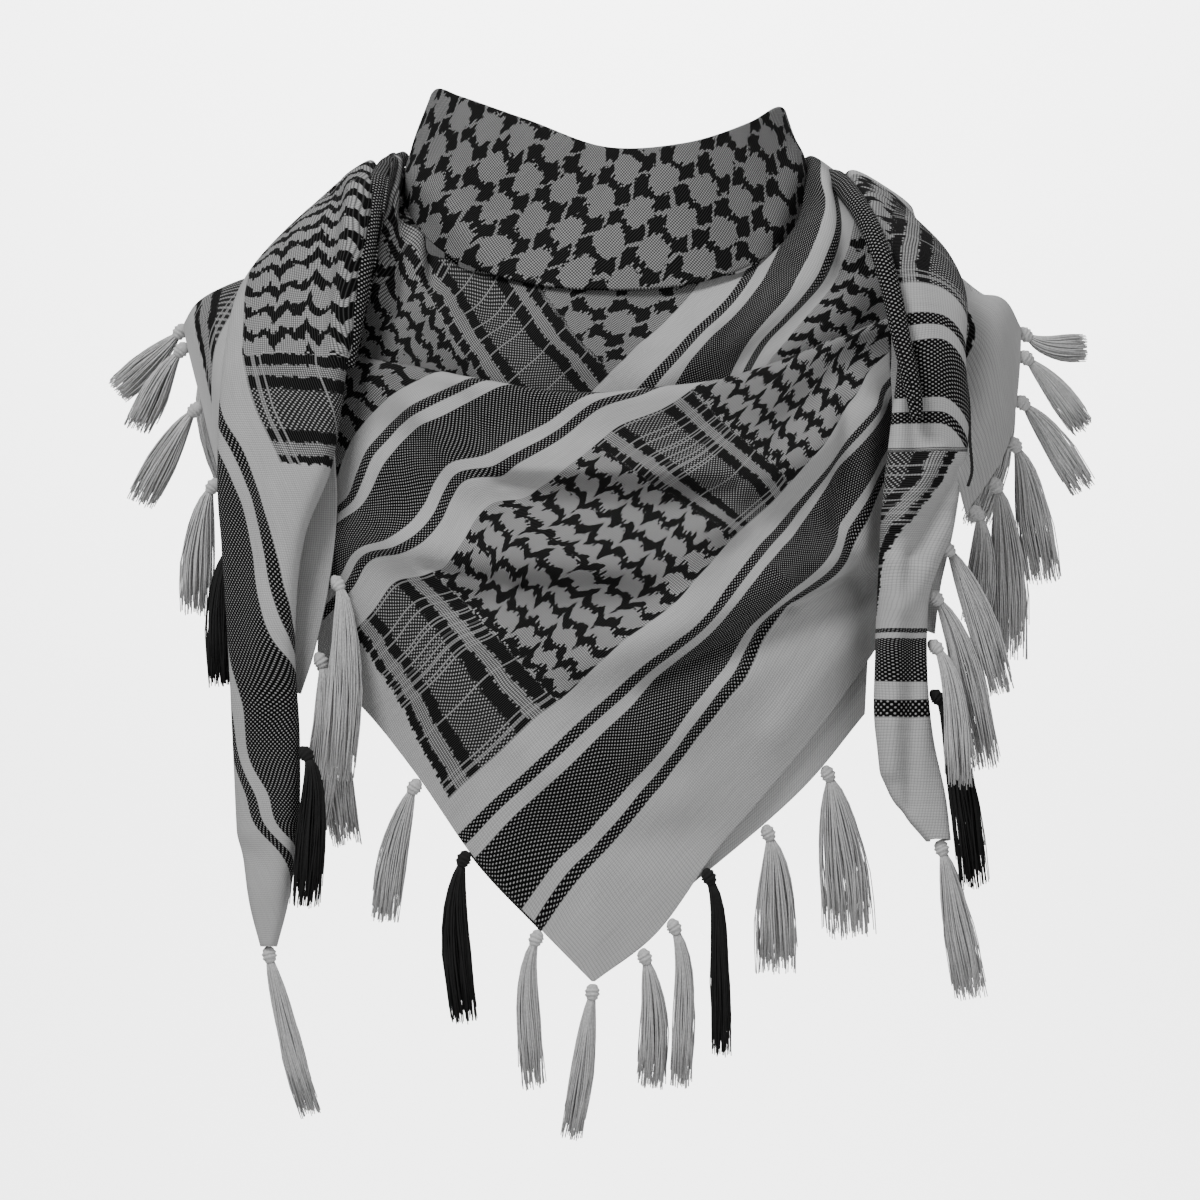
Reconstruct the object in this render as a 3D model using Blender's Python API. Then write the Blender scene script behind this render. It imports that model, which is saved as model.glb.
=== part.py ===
# Fringed square scarf, worn: folded corner to corner, wound once round the neck with its point
# hanging on the chest, its two ends crossed behind the neck and brought forward over the shoulders.
# Units are metres with +Z up; tables are in millimetres. -Y is the front, left and right are as seen
# from the front, and the origin is on the neck's axis, level with the tops of the shoulders.
import math

import bpy
import numpy as np

MM = 0.001

# Cloth
CLOTH = 2.0  # one fold of the cotton, as it lies
COLLAR_CLOTH = 3.0  # the collar is the cloth folded double

# Grid counts, along and across each piece
COLLAR_STEPS = (40, 6)
COWL_STEPS = (32, 8)
BIB_STEPS = (23, 15)
BIB_ROLL_STEPS = 5
UNDER_BIB_STEPS = (11, 6)
WING_STEPS = (13, 10)
BACK_STEPS = (12, 9)
TAIL_STEPS = (15, 29)
UNDER_TAIL_STEPS = (7, 5)

# Tassels
LOCKS = 5
KNOT_RADIUS = 4.2
KNOT_LENGTH = 9.0
NECK_RADIUS = 2.4
HEAD_LENGTH = 17.0
DEPTH_SHARE = 0.7  # a tassel's depth in its width
LOCK_SHARE = 0.76  # a lock's size in its share of the head
LOCK_TAPER = 0.6  # a lock's size at its end
LOCK_RINGS = (0.05, 0.5, 1.0)  # shares of a lock's length
FULL_SPREAD = 0.7  # share of a lock's length at which the tassel is at its widest
UNEVEN = 0.035  # share of its length by which one lock is longer than the next
ROOT_GAP = 0.6  # between a knot and the hem that it is tied to
TIP_GAP = 0.1  # between a knot and the tip of a tail
REACH = 14.0  # how far a tassel leads out of the hem before it droops
SHEET_STEP, TAIL_STEP = 0.1, 10.0  # how far along a hem its direction is taken, in stations and mm

# Colours, linear
GREY = (0.19, 0.19, 0.19, 1.0)
MID_GREY = (0.13, 0.13, 0.13, 1.0)
BLACK = (0.012, 0.012, 0.012, 1.0)
COTTON_ROUGHNESS = 0.85

FIGURE_CENTRE = np.array([0.0, 0.0, -120.0])  # inside the wearer, for telling out from in


# Collar: a row for each angle round the neck, 0 at the front and 90 at the right
# angle, top radius, top height, middle radius, middle height, hem radius, hem height
COLLAR = [
    (-180, 72, 6, 80, -12, 88, -34),
    (-150, 76, 11, 84, -8, 92, -30),
    (-120, 83, 24, 91, 3, 98, -20),
    (-95, 87, 37, 96, 14, 101, -10),
    (-80, 85, 42, 95, 10, 101, -17),
    (-60, 84, 38, 92, -2, 101, -35),
    (-30, 79, 26, 88, -16, 102, -54),
    (0, 76, 12, 87, -22, 103, -60),
    (30, 79, 14, 89, -20, 103, -55),
    (60, 84, 25, 93, -6, 102, -36),
    (80, 88, 33, 96, 8, 102, -14),
    (95, 90, 30, 96, 12, 102, -6),
    (120, 84, 20, 92, 2, 98, -18),
    (150, 76, 10, 84, -8, 92, -30),
    (180, 72, 6, 80, -12, 88, -34),
]

# Cowl: the loose wrap between the collar and the bib, from shoulder to shoulder
# station, angle round the neck, upper edge out from and up from the collar's hem,
# middle x, y, z, outer edge x, y, z
COWL = [
    (0, -97, 4.4, 2, -107, 12, 9, -113, 12, 6),
    (1, -68, 3.5, -4.5, -108, -48, -12, -124, -54, -36),
    (2, -46, -6.0, -5.0, -97, -84, -56, -128.5, -83, -88),
    (3, -28, -12.0, 8.0, -73, -102, -80, -92, -103, -115),
    (4, -12, -8.0, 8.0, -28, -109, -88, -45, -111, -122),
    (5, 7, -8.0, 8.0, 12, -110, -90, 12, -113, -124),
    (6, 28, -12.0, 4.0, 66, -104, -80, 84, -103, -112),
    (7, 47, -7.0, -6.0, 106, -86, -56, 142, -67.3, -78),
    (8, 68, 4.6, -3.0, 112, -50, -10, 136, -58, -38),
    (8.4, 80, 4.6, 1.0, 112, -25, 0, 130, -32, -22),
    (9, 97, 4.4, 3, 108, 12, 7, 116.5, 12, 0),
]

# Bib: the front of the folded square, from its rolled upper fold down to its point
# station, fold x, fold z, fold y, hem x, hem z, hem y
BIB_LEFT = [
    (0, -140, -92, -86, -144, -250, -86),
    (1, -117, -95, -105, -120, -270, -100),
    (2, -88, -100, -120, -93.5, -303, -112),
    (3, -57, -106, -129, -64, -345.5, -121),
    (4, -28, -111, -133, -33, -378.5, -126),
    (5, 0, -112, -134, -6, -406, -128),
]
BIB_RIGHT = [
    (5, 0, -112, -134, -6, -406, -128),
    (6, 28, -109, -132, 26, -381, -126),
    (7, 58, -105, -127, 55, -341, -121),
    (8, 90, -95, -117, 84, -307, -112),
    (9, 120, -82, -101, 112, -272, -99),
    (10, 143, -74, -82, 139, -234, -82),
]
BIB_MIDDLE = 5  # the station at the point
BIB_ROLL = 5.0  # radius of the upper fold
BIB_TUCK = 22.0  # cloth that goes down behind the upper fold
BIB_CHEST = 7.0  # how far the chest fills the bib out

# Second layer of the folded square, behind the bib
# station, top x, top z, top y, hem x, hem z, hem y
UNDER_BIB = [
    (0, -138, -128, -79, -134, -240, -81),
    (1, -92, -135, -106, -86, -294, -104),
    (2, -46, -142, -121, -40, -352, -117),
    (3, 0, -145, -125, 2, -388, -124),
    (4, 48, -142, -119, 47, -354, -117),
    (5, 98, -130, -103, 97, -311, -103),
    (6, 138, -116, -75, 130, -272, -86),
]

# Sheets over the shoulders and back: station, then points from beside the neck down to the hem
LEFT_WING = [
    (0, (-108, -46, -30), (-126, -54, -54), (-149, -62, -84),
     (-165, -67, -116), (-176, -67, -154), (-183, -68, -194)),
    (1, (-108, -22, -19), (-138, -32, -40), (-166, -38, -60),
     (-186, -42, -84), (-194, -44, -106), (-200, -46, -126)),
    (2, (-108, 5, -18), (-138, 2, -35), (-166, 0, -48), (-190, 0, -57), (-204, 0, -65), (-211, 0, -76)),
    (3, (-104, 30, -20), (-130, 40, -38), (-152, 46, -58),
     (-172, 52, -76), (-184, 56, -92), (-190, 58, -106)),
    (4, (-90, 55, -26), (-106, 70, -46), (-122, 80, -68),
     (-132, 86, -90), (-138, 89, -112), (-141, 91, -132)),
]
RIGHT_WING = [
    (0, (108, -48, -30), (128, -62.3, -47), (146, -64.0, -80),
     (160, -58, -112), (172, -56, -144), (181, -57, -172)),
    (1, (108, -22, -20), (138, -32, -42), (166, -40, -58),
     (188, -42, -84), (198, -42, -110), (203, -42, -134)),
    (2, (108, 5, -16.5), (140, 2, -34), (164, 0, -42), (188, 0, -60), (200, 0, -68), (208, 0, -78)),
    (3, (104, 30, -20), (130, 40, -38), (152, 46, -58), (174, 52, -78), (188, 56, -96), (193, 58, -112)),
    (4, (90, 55, -26), (106, 70, -46), (122, 80, -68), (132, 86, -90), (138, 89, -112), (141, 91, -132)),
]
BACK = [
    (0, (-89, 56, -26), (-105, 71, -46), (-121, 81, -68),
     (-131, 87, -90), (-137, 90, -112), (-140, 92, -132)),
    (1, (-50, 77, -34), (-58, 86, -56), (-65, 92, -80), (-72, 96, -104), (-76, 99, -124), (-79, 101, -146)),
    (2, (0, 86, -44), (0, 93, -64), (0, 97, -86), (0, 100, -108), (0, 102, -130), (0, 103, -152)),
    (3, (50, 77, -34), (58, 86, -56), (65, 92, -80), (72, 96, -104), (76, 99, -124), (79, 101, -146)),
    (4, (89, 56, -26), (105, 71, -46), (121, 81, -68), (131, 87, -90), (137, 90, -112), (140, 92, -132)),
]
# Plain layers that show beside the hanging ends, from behind the end out to the hem
LEFT_UNDER_TAIL = [
    (0, (-172.9, -88, -128), (-152, -98, -134), (-135, -104, -140)),
    (1, (-173.8, -90, -165), (-154, -99, -168), (-134, -105, -172)),
    (2, (-172, -93, -200), (-156, -101, -204), (-138, -106, -208)),
    (3, (-170, -96, -232), (-158, -102, -236), (-145, -106, -240)),
    (4, (-168, -98, -258), (-160, -101, -260), (-152, -104, -262)),
]
RIGHT_UNDER_TAIL = [
    (0, (150, -89, -140), (165, -86.3, -150), (178, -82.3, -158)),
    (1, (150, -93, -170), (164, -90.4, -176), (174, -87.3, -182)),
    (2, (150, -94.3, -200), (160, -92.3, -204), (168, -90.3, -208)),
    (3, (151, -95.3, -228), (159, -94.3, -230), (165, -92.3, -232)),
]

# Ends of the scarf, each folded into a flat tube that is open along its inner side. They start
# behind the neck, at a distance below 0, and pass over the shoulder at 0.
# distance along, left or lower edge x, y, z, right or upper edge x, y, z, thickness
LEFT_TAIL = [
    (-330, 94, 64, -22, 85, 61, -6, 4),
    (-280, 66, 92, -38, 54, 88, -14, 6),
    (-235, 34, 109, -50, 27, 103, -20, 8),
    (-195, 0, 120, -70, 0, 108, -26, 11),
    (-125, -86, 119, -86, -56, 108, -26, 12),
    (-56, -146, 78, -62, -108, 72, -8, 10),
    (0, -164, 22, -42, -117, 22, 4, 8),
    (45, -173, -24, -47, -116, -28, 3, 10),
    (90, -184, -58, -66, -120, -82, -16, 13),
    (140, -190, -78, -100, -127, -110, -58, 15),
    (190, -192, -90, -140, -133, -121, -116, 20),
    (215, -192, -93, -163, -138, -122, -147, 20),
    (245, -190, -95, -188, -151, -122, -180, 16),
    (290, -186.5, -100, -235, -157, -121, -230, 16),
    (340, -184, -103, -285, -154, -121, -285, 15),
    (390, -180, -106, -335, -155, -119, -335, 14),
    (424, -176, -109, -368, -160, -117, -368, 12),
    (446, -171, -112, -388, -165, -115, -388, 7),
]
RIGHT_TAIL = [
    (-290, -104, 97, -88, -92, 92, -66, 3),
    (-235, -56, 109, -102, -50, 101, -66, 5),
    (-175, 0, 112, -108, 0, 102, -62, 6),
    (-142, 42, 112, -102, 32, 105, -60, 6),
    (-110, 86, 108, -92, 64, 100, -50, 7),
    (-50, 142, 74, -58, 110, 70, -20, 9),
    (0, 153, 24, -21, 122, 22, 0, 7),
    (45, 157, -26, -28, 126, -26, -8, 9),
    (90, 173, -60, -47, 137, -70, -30, 13),
    (130, 180, -76, -66, 143, -94, -60, 14),
    (165, 179, -87, -94, 147, -105, -94, 15),
    (200, 181, -91, -128, 144, -109, -128, 15),
    (235, 176, -95, -162, 140, -111, -163, 15),
    (275, 162, -101, -202, 138, -112, -202, 15),
    (315, 160, -105, -242, 136, -113, -242, 14),
    (355, 163, -107, -282, 136, -113, -282, 13),
    (390, 170, -108, -316, 145, -112, -316, 11),
    (410, 172, -109, -335, 161, -112, -335, 8),
]
TAIL_SLIT = 26.0  # degrees of the tube's inner side left open, each side of its middle
TAIL_SQUARE = 0.72  # below 1 flattens the tube's two broad sides

# Largest folds, seen from the front: a ridge where the height is positive, a furrow where it
# is negative
# from x, from z, to x, to z, half width, height
BIB_FOLDS = [
    (-120, -120, -70, -135, 16, -4),
    (-50, -146, 72, -150, 13, 5),
    (-45, -163, 70, -168, 10, -4),
    (-130, -185, -85, -180, 14, 4),
    (-95, -190, 10, -198, 12, 5),
    (-70, -216, 20, -216, 12, -4),
    (-10, -246, 110, -196, 14, 6),
    (24, -258, 128, -208, 12, -6),
    (40, -190, 128, -118, 15, 4),
    (-6, -338, 42, -332, 13, -3),
    (90, -128, 128, -92, 10, -4),
]
COWL_FOLDS = [
    (-84, -70, -50, -112, 11, 4),
    (-60, -70, -14, -108, 9, -3),
    (110, -34, 28, -106, 12, 5),
    (122, -50, 70, -95, 9, -4),
]
COLLAR_FOLDS = [
    (-92, -5, -55, -48, 9, 3),
    (98, 8, 84, -30, 7, 2),
]
RIGHT_WING_FOLDS = [
    (196, -68, 180, -150, 11, 4),
    (184, -62, 168, -140, 9, -4),
]
LEFT_WING_FOLDS = [
    (-200, -78, -184, -128, 8, 3),
]
LEFT_TAIL_FOLDS = [
    (-124, -10, -133, -90, 7, 4),
    (-135, -12, -143, -90, 6, -4),
    (-163, -120, -176, -330, 9, 3),
]
RIGHT_TAIL_FOLDS = [
    (142, -22, 154, -90, 6, -3),
    (154, -92, 156, -150, 6, -4),
    (147, -190, 147, -300, 5, 3),
]
# Folds seen from behind, in the same terms
LEFT_TAIL_BACK_FOLDS = [
    (-110, -34, -10, -70, 9, 4),
    (-100, -18, 0, -50, 7, -4),
]
BACK_FOLDS = [
    (-60, -70, -70, -140, 10, 4),
    (0, -70, 4, -146, 11, -4),
    (58, -70, 66, -140, 10, 4),
]

# Tassels: a row for each
# name, what it is tied to, place along that, end x, y, z, half width at the end, black
# The place is a station of the bib, a wing or a layer, or a distance along a tail.
TASSELS = [
    ("tassel_bib_1", "bib", 0.5, -129, -98, -336, 8, False),
    ("tassel_bib_2", "bib", 2.05, -110, -114, -374, 8, False),
    ("tassel_bib_3", "bib", 2.88, -71, -122, -424, 8, True),
    ("tassel_bib_4", "bib", 4.05, -36, -127, -457, 6.5, False),
    ("tassel_bib_5", "bib", 5.0, -17, -129, -482, 6, False),
    ("tassel_bib_6", "bib", 5.72, 23, -124, -457, 8, False),
    ("tassel_bib_7", "bib", 6.18, 38, -127, -456, 6, False),
    ("tassel_bib_8", "bib", 6.78, 58, -123, -440, 5, True),
    ("tassel_under_1", "under_bib", 4.62, 86, -106, -400, 11, False),
    ("tassel_under_2", "under_bib", 5.32, 122, -97, -382, 14, False),
    ("tassel_left_wing_1", "left_wing", 2.0, -245, -4, -110, 8, False),
    ("tassel_left_wing_2", "left_wing", 1.667, -235, -24, -128, 8, False),
    ("tassel_left_wing_3", "left_wing", 1.15, -233, -46, -165, 8, False),
    ("tassel_left_wing_4", "left_wing", 0.55, -204, -60, -221, 9, False),
    ("tassel_left_wing_5", "left_wing", 0.1, -193, -80, -256, 6, True),
    ("tassel_left_wing_6", "left_wing", 2.7, -184, 58, -168, 8, False),
    ("tassel_left_wing_7", "left_wing", 3.45, -160, 90, -194, 9, False),
    ("tassel_right_wing_1", "right_wing", 2.0, 242, 4, -88, 7, False),
    ("tassel_right_wing_2", "right_wing", 1.667, 240, -22, -128, 7, False),
    ("tassel_right_wing_3", "right_wing", 1.333, 240, -36, -158, 8, False),
    ("tassel_right_wing_4", "right_wing", 1.0, 220, -48, -204, 10, False),
    ("tassel_right_wing_5", "right_wing", 0.5, 202, -58, -242, 10, False),
    ("tassel_right_wing_6", "right_wing", 0.1, 185, -70, -226, 8, False),
    ("tassel_right_wing_7", "right_wing", 2.7, 186, 60, -176, 8, False),
    ("tassel_right_wing_8", "right_wing", 3.45, 160, 90, -196, 9, False),
    ("tassel_left_tail_1", "left_tail", 446, -147, -118, -470, 6, False),
    ("tassel_left_tail_2", "left_edge", 345, -149, -130, -366, 8, True),
    ("tassel_left_tail_3", "left_under_tail", 1.9, -134, -130, -302, 9, False),
    ("tassel_left_tail_4", "left_under_tail", 3.1, -148, -104, -336, 8, False),
    ("tassel_right_tail_1", "right_edge", 260, 197, -98, -260, 8, False),
    ("tassel_right_tail_2", "right_edge", 285, 190, -103, -297, 9, False),
    ("tassel_right_tail_3", "right_edge", 310, 177, -136, -306, 7, False),
    ("tassel_right_tail_4", "right_edge", 335, 184, -114, -356, 8, True),
    ("tassel_right_tail_5", "right_tail", 410, 183, -114, -412, 9, False),
]


def smooth(stations, values, at):
    """A curve through values, one at each station, read at the given places."""
    stations = np.asarray(stations, float)
    values = np.asarray(values, float)
    at = np.asarray(at, float)
    slopes = np.gradient(values, stations, axis=0)
    low = np.clip(np.searchsorted(stations, at, side="right") - 1, 0, len(stations) - 2)
    step = stations[low + 1] - stations[low]
    shape = (-1,) + (1,) * (values.ndim - 1)
    t = ((at - stations[low]) / step).reshape(shape)
    step = step.reshape(shape)
    return (
        (2 * t**3 - 3 * t**2 + 1) * values[low]
        + (t**3 - 2 * t**2 + t) * step * slopes[low]
        + (3 * t**2 - 2 * t**3) * values[low + 1]
        + (t**3 - t**2) * step * slopes[low + 1]
    )


def unit(vector):
    return vector / np.linalg.norm(vector, axis=-1, keepdims=True)


def outward(grid, closed=False):
    """Unit normals of a grid of points, pointing away from the wearer."""
    if closed:
        ring = np.concatenate([grid[-1:], grid, grid[:1]])
        along = (ring[2:] - ring[:-2]) / 2
    else:
        along = np.gradient(grid, axis=0)
    normal = unit(np.cross(along, np.gradient(grid, axis=1)))
    away = (normal * (grid - FIGURE_CENTRE)).sum()
    return normal if away > 0 else -normal


def fold_height(grid, folds):
    """Height of the folds at each point, by its distance in x and z from each fold's line."""
    place = grid[:, :, [0, 2]]
    height = np.zeros(grid.shape[:2])
    for from_x, from_z, to_x, to_z, half_width, rise in folds:
        start = np.array([from_x, from_z], float)
        run = np.array([to_x, to_z]) - start
        share = np.clip(((place - start) @ run) / (run @ run), 0, 1)
        gap = np.linalg.norm(place - (start + share[:, :, None] * run), axis=2)
        height += rise * np.exp(-((gap / half_width) ** 2))
    return height


def folded(grid, folds, closed=False, front=True):
    """The grid with its folds raised, on the wearer's front or on the back."""
    side = grid[:, :, 1] < 0 if front else grid[:, :, 1] > 0
    height = fold_height(grid, folds) * side
    return grid + outward(grid, closed) * height[:, :, None]


def across(levels, points, steps):
    """Each row of points made a smooth line of as many points as steps."""
    places = np.linspace(levels[0], levels[-1], steps)
    return smooth(levels, points.transpose(1, 0, 2), places).transpose(1, 0, 2)


def lattice(table, steps):
    """A smooth sheet through a table of points: along the stations, then across each one."""
    stations = [row[0] for row in table]
    points = np.array([row[1:] for row in table], float)
    along = smooth(stations, points, np.linspace(stations[0], stations[-1], steps[0]))
    return across(np.arange(points.shape[1]), along, steps[1])


def round_neck(angle, radius, height):
    """Points at angles in degrees round the neck."""
    turn = np.radians(angle)
    return np.stack([radius * np.sin(turn), -radius * np.cos(turn), height], axis=-1)


def collar_at(angles):
    """The collar's top, middle and hem at angles round the neck."""
    rows = np.array(COLLAR, float)
    top_r, top_z, mid_r, mid_z, hem_r, hem_z = smooth(rows[:, 0], rows[:, 1:], angles).T
    levels = ((top_r, top_z), (mid_r, mid_z), (hem_r, hem_z))
    return np.stack([round_neck(angles, radius, height) for radius, height in levels], axis=1)


def collar_grid():
    angles = np.linspace(-180, 180, COLLAR_STEPS[0], endpoint=False)
    return across(np.arange(3), collar_at(angles), COLLAR_STEPS[1])


def cowl_grid():
    rows = np.array(COWL, float)
    stations = np.linspace(rows[0, 0], rows[-1, 0], COWL_STEPS[0])
    angle, out, up, *rest = smooth(rows[:, 0], rows[:, 1:], stations).T
    hem = collar_at(angle)[:, 2]
    radius = np.hypot(hem[:, 0], hem[:, 1]) + out
    upper = round_neck(angle, radius, hem[:, 2] + up)
    middle, outer = np.stack(rest[:3], axis=1), np.stack(rest[3:], axis=1)
    return across(np.arange(3), np.stack([upper, middle, outer], axis=1), COWL_STEPS[1])


def edge_row(table, station):
    """A two-edged sheet's upper and lower points at a station."""
    rows = np.array(table, float)
    x0, z0, y0, x1, z1, y1 = smooth(rows[:, 0], rows[:, 1:], [station])[0]
    return np.array([x0, y0, z0]), np.array([x1, y1, z1])


def bib_row(station):
    return edge_row(BIB_LEFT if station <= BIB_MIDDLE else BIB_RIGHT, station)


def bib_grid():
    """The roll of the upper fold first, from behind, then the front down to the hem."""
    rows = []
    for station in np.linspace(0, 2 * BIB_MIDDLE, BIB_STEPS[0]):
        fold, hem = bib_row(station)
        centre = fold + (0, BIB_ROLL, -BIB_ROLL)
        line = [centre + (0, BIB_ROLL, -BIB_TUCK)]
        for turn in np.linspace(math.pi, 0, BIB_ROLL_STEPS):
            line.append(centre + (0, -BIB_ROLL * math.cos(turn), BIB_ROLL * math.sin(turn)))
        front = line[-1]
        for share in np.linspace(0, 1, BIB_STEPS[1])[1:]:
            chest = (0, BIB_CHEST * math.sin(math.pi * share), 0)
            line.append(front * (1 - share) + hem * share - chest)
        rows.append(line)
    return np.array(rows)


def under_bib_grid():
    rows = []
    for station in np.linspace(0, len(UNDER_BIB) - 1, UNDER_BIB_STEPS[0]):
        top, hem = edge_row(UNDER_BIB, station)
        shares = np.linspace(0, 1, UNDER_BIB_STEPS[1])
        rows.append([top * (1 - share) + hem * share for share in shares])
    return np.array(rows)


def tail_frame(table, distance):
    """A tail's first edge, second edge, outward direction and thickness at a distance along it."""
    rows = np.array(table, float)
    values = smooth(rows[:, 0], rows[:, 1:], [distance - 1, distance, distance + 1])
    middle = (values[:, 0:3] + values[:, 3:6]) / 2
    first, second, thickness = values[1, 0:3], values[1, 3:6], values[1, 6]
    out = unit(np.cross(second - first, middle[2] - middle[0]))
    if out @ (middle[1] - FIGURE_CENTRE) < 0:
        out = -out
    return first, second, out, thickness


def tail_grid(table):
    """Flattened rings open on the inner side, one at each distance along the tail."""
    turns = np.radians(np.linspace(-90 + TAIL_SLIT, 270 - TAIL_SLIT, TAIL_STEPS[0]))
    wide = np.sign(np.cos(turns)) * np.abs(np.cos(turns)) ** TAIL_SQUARE
    deep = np.sign(np.sin(turns)) * np.abs(np.sin(turns)) ** TAIL_SQUARE
    rings = []
    for distance in np.linspace(table[0][0], table[-1][0], TAIL_STEPS[1]):
        first, second, out, thickness = tail_frame(table, distance)
        middle, half = (first + second) / 2, (second - first) / 2
        rings.append(middle + np.outer(wide, half) + np.outer(deep, out * thickness / 2))
    return np.array(rings).transpose(1, 0, 2)


def solid(name, vertices, faces, material):
    """A named object from points in millimetres, its faces turned outwards."""
    vertices = np.asarray(vertices, float) * MM
    volume = 0.0
    for face in faces:
        for second, third in zip(face[1:-1], face[2:]):
            volume += np.dot(vertices[face[0]], np.cross(vertices[second], vertices[third]))
    if volume < 0:
        faces = [face[::-1] for face in faces]
    mesh = bpy.data.meshes.new(name)
    mesh.from_pydata(vertices.tolist(), [], faces)
    mesh.materials.append(material)
    mesh.shade_smooth()
    mesh.set_sharp_from_angle(angle=math.radians(50))
    piece = bpy.data.objects.new(name, mesh)
    bpy.context.scene.collection.objects.link(piece)
    return piece


def wall(name, grid, thickness, material, closed=False):
    """A sheet of cloth with a thickness: two faces and a rim."""
    long, wide = grid.shape[:2]
    half = outward(grid, closed) * thickness / 2
    vertices = np.concatenate([(grid + half).reshape(-1, 3), (grid - half).reshape(-1, 3)])
    inner = long * wide

    def at(i, j):
        return (i % long) * wide + j

    faces = []
    for i in range(long if closed else long - 1):
        for j in range(wide - 1):
            quad = [at(i, j), at(i + 1, j), at(i + 1, j + 1), at(i, j + 1)]
            faces.append(quad)
            faces.append([inner + corner for corner in quad[::-1]])
        for j, one, two in ((0, i + 1, i), (wide - 1, i, i + 1)):
            faces.append([at(one, j), at(two, j), inner + at(two, j), inner + at(one, j)])
    if not closed:
        for j in range(wide - 1):
            for i, one, two in ((0, j, j + 1), (long - 1, j + 1, j)):
                faces.append([at(i, one), at(i, two), inner + at(i, two), inner + at(i, one)])
    return solid(name, vertices, faces, material)


def tassel_path(root, out, end):
    """A quadratic curve that leaves the root outwards and droops to the end."""
    length = np.linalg.norm(end - root)
    knee = root + out * REACH

    def at(distance):
        t = distance / length
        point = (1 - t) ** 2 * root + 2 * t * (1 - t) * knee + t**2 * end
        slope = 2 * (1 - t) * (knee - root) + 2 * t * (end - knee)
        return point, unit(slope)

    return at, length


def tassel(name, root, out, end, spread, material):
    """A knot and a head, whose lower face is drawn out into separate locks of yarn."""
    at, length = tassel_path(root, out, end)
    turns = np.linspace(0, 2 * math.pi, LOCKS, endpoint=False)
    corners = np.stack([np.cos(turns), np.sin(turns)], axis=1)
    head_radius = NECK_RADIUS + (spread - NECK_RADIUS) * HEAD_LENGTH / length

    def placed(offsets, distance, radius):
        point, along = at(distance)
        deep = np.array([0.0, 1.0, 0.0])
        deep = unit(deep - (deep @ along) * along)
        wide = np.cross(along, deep)
        return [point + radius * (a * wide + DEPTH_SHARE * b * deep) for a, b in offsets]

    sections = [
        (0.0, KNOT_RADIUS / 3),
        (KNOT_LENGTH / 2, KNOT_RADIUS),
        (KNOT_LENGTH, NECK_RADIUS),
        (HEAD_LENGTH, head_radius),
    ]
    vertices, faces = [], [list(range(LOCKS))[::-1]]
    for distance, radius in sections:
        vertices += placed(corners, distance, radius)
    for ring in range(len(sections) - 1):
        for i in range(LOCKS):
            j = (i + 1) % LOCKS
            upper, lower = ring * LOCKS, (ring + 1) * LOCKS
            faces.append([upper + i, upper + j, lower + j, lower + i])
    base = (len(sections) - 1) * LOCKS
    hub = len(vertices)
    vertices += placed([(0, 0)], HEAD_LENGTH, head_radius)
    reach = length - HEAD_LENGTH
    for i in range(LOCKS):
        j = (i + 1) % LOCKS
        share_of_head = np.array([(0, 0), corners[i], corners[j]])
        centre = share_of_head.mean(axis=0)
        rim = [hub, base + i, base + j]
        for share in LOCK_RINGS:
            fresh = [len(vertices) + k for k in range(3)]
            radius = head_radius + (spread - head_radius) * min(1.0, share / FULL_SPREAD)
            size = LOCK_SHARE * (LOCK_TAPER if share == 1.0 else 1.0)
            longest = 1 - UNEVEN * (i % 3) * share
            lock = centre + (share_of_head - centre) * size
            vertices += placed(lock, HEAD_LENGTH + reach * share * longest, radius)
            for k in range(3):
                m = (k + 1) % 3
                faces.append([rim[k], rim[m], fresh[m], fresh[k]])
            rim = fresh
        faces.append(rim)
    return solid(name, vertices, faces, material)


def sheet_row(table, station):
    """The last two points of a sheet's row at a station."""
    points = np.array([row[1:] for row in table], float)
    row = smooth([row[0] for row in table], points, [station])[0]
    return row[-2], row[-1]


def tail_sides(table, distance):
    """The outermost points of a tail's two edges at a distance along it."""
    first, second, _, _ = tail_frame(table, distance)
    wall_out = unit(second - first) * CLOTH / 2
    return first - wall_out, second + wall_out


def square_to_hem(row_at, place, step):
    """A hem's point at a place, and the direction out of the cloth, square to the hem there."""
    inside, hem = row_at(place)
    along = unit(row_at(place + step)[1] - row_at(place - step)[1])
    out = hem - inside
    return hem, unit(out - (out @ along) * along)


def tied_to(place, along):
    """Where a tassel is tied: the hem's point and the direction out of the cloth there."""
    rows = {
        "bib": bib_row,
        "under_bib": lambda at: edge_row(UNDER_BIB, at),
        "left_wing": lambda at: sheet_row(LEFT_WING, at),
        "right_wing": lambda at: sheet_row(RIGHT_WING, at),
        "left_under_tail": lambda at: sheet_row(LEFT_UNDER_TAIL, at),
        "left_edge": lambda at: tail_sides(LEFT_TAIL, at),
        "right_edge": lambda at: tail_sides(RIGHT_TAIL, at)[::-1],
    }
    if place in rows:
        return square_to_hem(rows[place], along, TAIL_STEP if "edge" in place else SHEET_STEP)
    table = LEFT_TAIL if place == "left_tail" else RIGHT_TAIL
    tip = np.mean(tail_sides(table, along), axis=0)
    out = unit(tip - np.mean(tail_sides(table, along - TAIL_STEP), axis=0))
    return tip - out * (ROOT_GAP - TIP_GAP), out


def material(name, colour):
    made = bpy.data.materials.new(name)
    made.use_nodes = True
    shader = made.node_tree.nodes["Principled BSDF"]
    shader.inputs["Base Color"].default_value = colour
    shader.inputs["Roughness"].default_value = COTTON_ROUGHNESS
    made.diffuse_color = colour
    return made


def make_neck(cloth):
    collar = folded(collar_grid(), COLLAR_FOLDS, closed=True)
    wall("collar", collar, COLLAR_CLOTH, cloth, closed=True)
    wall("cowl", folded(cowl_grid(), COWL_FOLDS), CLOTH, cloth)


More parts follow.
